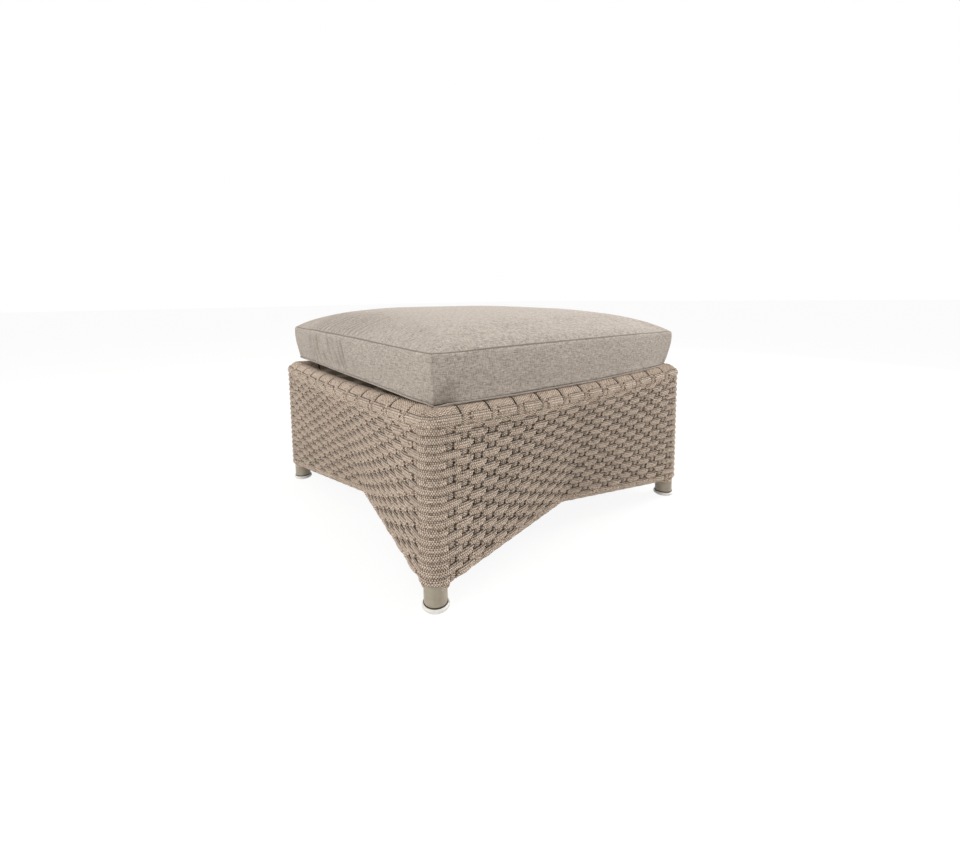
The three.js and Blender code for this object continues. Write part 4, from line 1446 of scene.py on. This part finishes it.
    def _fill(self, piece: bpy.types.Object, groups: Mapping[str, list[int]]) -> None:
        """Blows the sewn form up as cloth, then keeps each point's move within the cap."""
        start = self._points(piece.data)
        piece.vertex_groups.new(name="held").add(groups["bottom"], 1.0, "REPLACE")
        piece.vertex_groups.new(name="gather").add(groups["seam"] + groups["edge"], 1.0, "REPLACE")
        cloth = piece.modifiers.new("fill", "CLOTH")
        values = {
            "quality": 6,
            "mass": 0.35,
            "tension_stiffness": 12.0,
            "compression_stiffness": 12.0,
            "shear_stiffness": 4.0,
            "bending_stiffness": 0.15,
            "use_pressure": True,
            "uniform_pressure_force": self.pressure,
            "vertex_group_mass": "held",
            "vertex_group_shrink": "gather",
            "shrink_min": -0.010,
            "shrink_max": 0.006,
        }
        for name, value in values.items():
            setattr(cloth.settings, name, value)
        cloth.settings.effector_weights.gravity = 0.0
        cloth.collision_settings.use_collision = False
        cloth.point_cache.frame_start = 1
        cloth.point_cache.frame_end = self.frames
        scene = bpy.context.scene
        for number in range(1, self.frames + 1):
            scene.frame_set(number)
        depsgraph = bpy.context.evaluated_depsgraph_get()
        move = self._points(piece.evaluated_get(depsgraph).to_mesh()) - start
        piece.modifiers.remove(cloth)
        scene.frame_set(1)
        size = np.linalg.norm(move, axis=1, keepdims=True)
        capped = move * np.minimum(1.0, self.cap / np.maximum(size, 1e-9))
        LOG.info("cushion: cloth moved %.1f mm at most, %.1f in the mean", size.max() / MM, size.mean() / MM)
        self._lay(piece.data, start + capped)
        piece.vertex_groups.clear()

    def _settle(self, points: np.ndarray) -> np.ndarray:
        """Lays the filled cushion on the frame as in the photograph: edges, seam, slack foot, corner tuck.

        Args:
            points: The cover's points, in metres.

        Returns:
            The points where they come to lie.
        """
        x, y, z = points.T.copy()
        height = self.seam_height - self.foot
        low = np.clip((self.seam_height - z) / height, 0.0, 1.0) ** 2
        for across, away, table in ((y, -x, self.left_lift), (x, -y, self.front_lift)):
            places, heights = (np.array(column) * MM for column in zip(*table))
            lift = np.interp(across, places, heights)
            wide, narrow = (self._ramp(away, *reach) for reach in self.lift_reaches)
            z += np.where(lift > 0, wide, narrow) * lift * low
        high = np.clip((z - self.foot) / height, 0.0, 1.0)
        u, v = (x / self.half + 1) / 2, (y / self.half + 1) / 2
        near, left, right, back = self.seam_lifts
        z += high * ((1 - u) * ((1 - v) * near + v * left) + u * ((1 - v) * right + v * back))
        x += self.right_stretch * np.clip(u, 0.0, 1.0) * high**0.7
        for side in (-1.0, 1.0):
            away = np.hypot(x - side * self.half, y + side * self.half)
            round_in = self._near(away, self.draw_reach) ** 1.3 * (1.0 - high) ** 1.5 * self.corner_draw
            x, y = x - side * round_in, y + side * round_in * 0.6
        x += self.left_inset * (1 - high) ** 1.5 * self._ramp(-x, 0.16, self.half)
        corner = np.hypot(x + self.half, y + self.half)
        tuck = self._near(corner, self.tuck_reach) * self._near(z - self.foot, self.tuck_height)
        x, y = x + tuck * self.tuck_move[0], y + tuck * self.tuck_move[1]
        flat = self._ramp(self.bed_half - np.abs(x), 0.0, self.bed_end_ease)
        flat *= self._ramp(self.bed_height - np.abs(z - self.bed_middle), 0.0, self.bed_edge_ease)
        y = np.where(y > self.tape_bed, y - (y - self.tape_bed) * flat, y)
        return np.stack((x, y, z), axis=1)

    @staticmethod
    def _ramp(value: np.ndarray, start: float, end: float) -> np.ndarray:
        """Smooth rise from 0 at start to 1 at end."""
        ramp = np.clip((value - start) / (end - start), 0.0, 1.0)
        return ramp * ramp * (3 - 2 * ramp)

    @staticmethod
    def _near(distance: np.ndarray, reach: float) -> np.ndarray:
        """1 at no distance, falling evenly to 0 at the reach."""
        return np.clip(1.0 - distance / reach, 0.0, 1.0)

    def _between(self, value: np.ndarray, window: tuple[float, ...]) -> np.ndarray:
        """1 inside a window and 0 outside it, with a smooth rise and fall at its ends."""
        return self._ramp(value, *window[:2]) * (1.0 - self._ramp(value, *window[2:]))

    def _crease(self, points: np.ndarray) -> tuple[np.ndarray, np.ndarray]:
        """Adds the cover's folds: across the left band, in from the left seam, and soft unevenness.

        Args:
            points: The settled cover's points, in metres.

        Returns:
            The points with the folds, and how much painted shade each gets in the folds and along the corner
            dart.
        """
        x, y, z = points.T.copy()
        ramp = self._ramp
        band = ramp(-x, 0.268, 0.280) * ramp(z, self.foot + 0.004, self.foot + 0.022)
        band *= 1.0 - ramp(z, self.seam_height - 0.010, self.seam_height + 0.004)
        slant = y - (0.38 + 0.25 * np.sin(y * 19.0)) * (z - self.foot)
        window = self._between(slant, self.fold_window)
        window *= 0.62 + 0.38 * np.sin(slant * 97.0 + (z - self.foot) * 60.0)
        uneven = 0.006 * np.sin(slant * 61.0) + 0.005 * np.sin(slant * 131.0 + 1.0)
        folds = np.abs(np.sin((slant + uneven) / self.fold_pitch * np.pi)) ** 0.7
        x = x - band * window * (folds - 0.7) * self.fold_depth
        # How much painted shade each point gets in the folds' hollows; the top's creases and the dart add
        # more below.
        fold_shade_share = band * window * np.clip(1.0 - folds, 0.0, 1.0)
        top = ramp(z, self.seam_height + 0.002, self.seam_height + 0.008) * ramp(-x, 0.150, 0.262)
        fan = y + 0.55 * (x + 0.2)
        reach = self._between(y, self.crease_window)
        waves = np.sin((fan + 0.005 * np.sin(fan * 47.0)) / self.crease_pitch * 2 * np.pi)
        waves = np.abs(waves) ** 0.6
        z = z + top * reach * (waves - 0.6) * self.crease_depth
        fold_shade_share += top * reach * np.clip(1.0 - waves, 0.0, 1.0)
        above = (z - self.foot + 0.002) - self.dart_slope * (x + self.half - 0.002)
        dart = ramp(-y, 0.270, 0.284) * ramp(-x, 0.236, 0.258)
        y = y + dart * (1.0 - ramp(above, -0.005, 0.001)) * self.dart_depth
        y = y - dart * self._near(np.abs(above + 0.002), self.dart_width) * self.dart_ridge
        fold_shade_share += dart * self._near(np.abs(above - 0.002), self.dart_width) * self.dart_mark
        scale, apart = self.noise_scale, Vector(self.noise_start)
        soft = np.array([noise.noise(Vector(point) * scale + apart) for point in points])
        on_band = 1.0 - ramp(z, self.seam_height - 0.004, self.seam_height + 0.004)
        reach_out = np.maximum(np.hypot(x, y), 1e-6)
        back = ramp(y, 0.24, 0.27)
        move = soft * on_band * (1.0 - back) * self.unevenness
        away = ramp(np.maximum(np.abs(x), np.abs(y)), 0.24, 0.27)
        z = z + soft * (1.0 - on_band) * self.top_unevenness
        move = move * away / reach_out
        return np.stack((x + move * x, y + move * y, z), axis=1), fold_shade_share

    def _sew(self, mesh: bpy.types.Mesh, seam: list[int]) -> None:
        """Draws the seam in, and marks it for a painted shade line along its groove."""
        points = self._points(mesh)
        outward = points[seam] * np.array([1.0, 1.0, 0.0])
        outward /= np.linalg.norm(outward, axis=1, keepdims=True)
        points[seam] -= outward * self.seam_groove
        self._lay(mesh, points)
        values = np.zeros(len(points))
        values[seam] = 1.0
        self._mark(mesh, "seam", values)

    def build(self) -> None:
        """Makes the cushion and lays it on the frame in place of its plain solids."""
        mesh, groups = self._start_shape()
        loose = link_object("cushion_loose", mesh)
        self._fill(loose, groups)
        self._lay(mesh, self._settle(self._points(mesh)))
        self._sew(mesh, groups["seam"])
        finer = loose.modifiers.new("finer", "SUBSURF")
        finer.levels = finer.render_levels = 1
        smooth = kept(loose)
        edge = [mesh.vertices[number].co.copy() for number in groups["edge"]]
        bpy.data.objects.remove(loose)
        points, folds = self._crease(self._points(smooth))
        self._lay(smooth, points)
        # The folds' and the dart's painted shade, for the cloth's colour.
        self._mark(smooth, "fold", folds)
        smooth.polygons.foreach_set("use_smooth", [True] * len(smooth.polygons))
        smooth.materials.append(self.finish)
        panels = ("foam", "fibre_pad", "top_panel", "side_band", "bottom_panel")
        nodes = [f"cushion_{panel}" for panel in panels]
        piece = hand_in("cushion_cover", smooth, "cushion", "cushion_fabric", *nodes)
        self.piping.build("cushion_piping", edge, "cushion_bottom_welt")

    @staticmethod
    def _points(mesh: bpy.types.Mesh) -> np.ndarray:
        """Every point of a mesh."""
        points = np.empty(3 * len(mesh.vertices), np.float32)
        mesh.vertices.foreach_get("co", points)
        return points.reshape(-1, 3).astype(np.float64)

    @staticmethod
    def _lay(mesh: bpy.types.Mesh, points: np.ndarray) -> None:
        """Moves a mesh's points to new places."""
        mesh.vertices.foreach_set("co", points.astype(np.float32).ravel())
        mesh.update()

    @staticmethod
    def _mark(mesh: bpy.types.Mesh, name: str, values: np.ndarray) -> None:
        """Leaves a number on each point of a mesh for its finish."""
        mesh.attributes.new(name, "FLOAT", "POINT").data.foreach_set("value", values.astype(np.float32))


# Bare metal and plastic of the frame, and the zip


@dataclass
class BowedRail:
    """The top rail's tube inside the rope, with the slight dip that the rope over it shows."""

    finish: bpy.types.Material
    skirt: RopeSkirt
    radius: float = 16.0 * MM
    steps: int = 49
    sides: int = 40

    def _tree(self) -> Graph:
        """A round tube along a shallow curve."""
        graph = Graph.shape("bowed_rail", {"Half length": 0.25, "Radius": 0.016, "Material": "Material"})
        half = graph.given("Half length")
        ends = {"Start": graph.combine(-half, 0.0), "End": graph.combine(half, 0.0)}
        even = graph.geo("ResampleCurve", Curve=graph.geo("CurvePrimitiveLine", **ends), Count=self.steps)
        x, _, _ = graph.separate(graph.geo("InputPosition"))
        place = graph.combine(x, -self.skirt.rail_offset, self.skirt.rail_level(x))
        bowed = graph.geo("SetPosition", Geometry=even, Position=place)
        ring = graph.geo("CurvePrimitiveCircle", Resolution=self.sides, Radius=graph.given("Radius"))
        tube = graph.geo("CurveToMesh", Curve=bowed, Profile_Curve=ring, Fill_Caps=True)
        graph.give("Geometry", graph.dressed(graph.smooth(tube)))
        return graph

    def build(self) -> None:
        """Makes the four rails in place of the straight ones."""
        low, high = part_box("top_rail_front")
        settings = {"Half length": (high[0] - low[0]) / 2, "Radius": self.radius, "Material": self.finish}
        mesh = grow("rail_tube", self._tree(), settings)
        hand_in_round("rail_tube", mesh, Side, "powder_coat", "top_rail")


def dress_bare_parts(finishes: Finishes) -> None:
    """Gives the CAD pieces that keep their shape their material."""
    by_prefix = {
        ("corner_elbow", "leg_front", "leg_back", "lower_bar", "seat_slat"): finishes.coat,
        ("glide_pad",): finishes.white_plastic,
        ("glide_plug",): finishes.dark_plastic,
        ("zip_slider", "zip_pull"): finishes.zip_metal,
    }
    for name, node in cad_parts.items():
        for prefixes, material in by_prefix.items():
            if name.startswith(prefixes):
                node.data.materials.clear()
                node.data.materials.append(material)
    LOG.info("bare parts: dressed")


# Room, light and camera


@dataclass(frozen=True)
class Panel:
    """A square soft lamp that looks at a point."""

    name: str
    place: Point
    width: float
    power: float
    color: Color
    target: Point = (0.0, 0.0, 0.25)

    def build(self) -> None:
        """Hangs the lamp."""
        data = bpy.data.lights.new(self.name, "AREA")
        data.shape = "SQUARE"
        data.size = self.width
        data.energy = self.power
        data.color = self.color
        aim = Vector(self.target) - Vector(self.place)
        turned = aim.to_track_quat("-Z", "Y").to_matrix().to_4x4()
        link_object(self.name, data).matrix_world = Matrix.Translation(self.place) @ turned


@dataclass
class Studio:
    """Pale floor, soft light, and the camera at the photograph's viewing angle."""

    focal_pixels: float = 451.2
    centre_x: float = 466.2
    centre_y: float = 342.3
    yaw: float = 36.88
    pitch: float = 5.64
    roll: float = -0.80
    place: Point = (-580.1 * MM, -755.2 * MM, 405.3 * MM)
    sensor: float = 36.0
    floor_half: float = 30.0
    floor_paint: tuple[float, ...] = (0.86, 0.86, 0.85, 1.0)
    world_light: float = 0.48
    world_tint: tuple[float, ...] = (1.0, 0.985, 0.965, 1.0)
    floor_glow: float = 1.06
    floor_glow_share: float = 0.86
    panels: tuple[Panel, ...] = (
        Panel("key_panel", (-2.6, -0.1, 1.7), 1.8, 36.5, (1.0, 0.98, 0.95)),
        Panel("top_panel", (0.2, 0.1, 2.6), 2.2, 28.0, (1.0, 0.99, 0.98)),
        Panel("right_panel", (2.2, -0.7, 1.2), 0.9, 42.0, (1.0, 0.97, 0.945), (0.2, -0.3, 0.2)),
    )

    def camera(self) -> None:
        """Sets up the camera."""
        data = bpy.data.cameras.new("camera")
        data.sensor_fit = "HORIZONTAL"
        data.sensor_width = self.sensor
        data.lens = self.focal_pixels / IMAGE_WIDTH * self.sensor
        data.shift_x = (IMAGE_WIDTH / 2 - self.centre_x) / IMAGE_WIDTH
        data.shift_y = (self.centre_y - IMAGE_HEIGHT / 2) / IMAGE_WIDTH
        data.clip_start = 0.01
        yaw, pitch, roll = (math.radians(a) for a in (self.yaw, self.pitch, self.roll))
        forward = Vector((math.sin(yaw) * math.cos(pitch), math.cos(yaw) * math.cos(pitch), -math.sin(pitch)))
        right = Vector((math.cos(yaw), -math.sin(yaw), 0.0))
        up = right.cross(forward)
        turned_right = math.cos(roll) * right + math.sin(roll) * up
        turned_up = -math.sin(roll) * right + math.cos(roll) * up
        axes = Matrix((turned_right, turned_up, -forward)).transposed().to_4x4()
        made = link_object("camera", data)
        made.matrix_world = Matrix.Translation(self.place) @ axes
        bpy.context.scene.camera = made

    @staticmethod
    def _seen_rays(graph: Graph) -> Term:
        """1 for rays that show the room straight, by reflection or through glass, and 0 for its light."""
        rays = graph.node("ShaderNodeLightPath").outputs
        camera, glossy, through = (
            Term(graph, rays[f"Is {kind} Ray"]) for kind in ("Camera", "Glossy", "Transmission")
        )
        return camera.at_least(glossy).at_least(through)

    def world(self) -> None:
        """White to the eye, and a plain even light on the object."""
        world = bpy.data.worlds.new("studio")
        bpy.context.scene.world = world
        world.use_nodes = True
        graph = Graph(world.node_tree)
        background = world.node_tree.nodes["Background"]
        seen = self._seen_rays(graph)
        tint = graph.mix(seen, self.world_tint, WHITE)
        graph.feed(background.inputs["Color"], tint)
        graph.feed(background.inputs["Strength"], seen * (1.0 - self.world_light) + self.world_light)

    def floor(self) -> None:
        """A pale floor that keeps the object's shadow."""
        build = bmesh.new()
        bmesh.ops.create_grid(build, x_segments=4, y_segments=4, size=self.floor_half)
        mesh = bpy.data.meshes.new("floor")
        build.to_mesh(mesh)
        build.free()
        material = bpy.data.materials.new("floor_paint")
        material.use_nodes = True
        graph = Graph(material.node_tree)
        shader = material.node_tree.nodes["Principled BSDF"]
        paint = {"Base Color": self.floor_paint, "Roughness": 0.9, "Specular IOR Level": 0.0}
        for name, value in paint.items():
            graph.feed(shader.inputs[name], value)
        glow = graph.shader("Emission", {"Color": WHITE, "Strength": self.floor_glow})
        matt = Term(graph, shader.outputs[0])
        seen = self._seen_rays(graph) * self.floor_glow_share
        mixed = graph.shader("MixShader", {0: seen, 1: matt, 2: glow})
        graph.feed(material.node_tree.nodes["Material Output"].inputs["Surface"], mixed)
        mesh.materials.append(material)
        link_object("floor", mesh)

    def build(self) -> None:
        """Sets up the whole room."""
        self.camera()
        self.world()
        self.floor()
        for panel in self.panels:
            panel.build()
        bpy.context.scene.view_settings.view_transform = "Standard"
        LOG.info("studio: camera, floor and light in place")


def main() -> None:
    """Builds the footstool's looks in order."""
    Studio().build()
    finishes = Finishes()
    dress_bare_parts(finishes)
    skirt = RopeSkirt(finishes.rope)
    skirt.build()
    BowedRail(finishes.coat, skirt).build()
    Cushion(finishes.cloth, Piping(finishes.cloth)).build()
    Zip(finishes.tape, finishes.zip_coil).build()


if __name__ == "__main__":
    main()
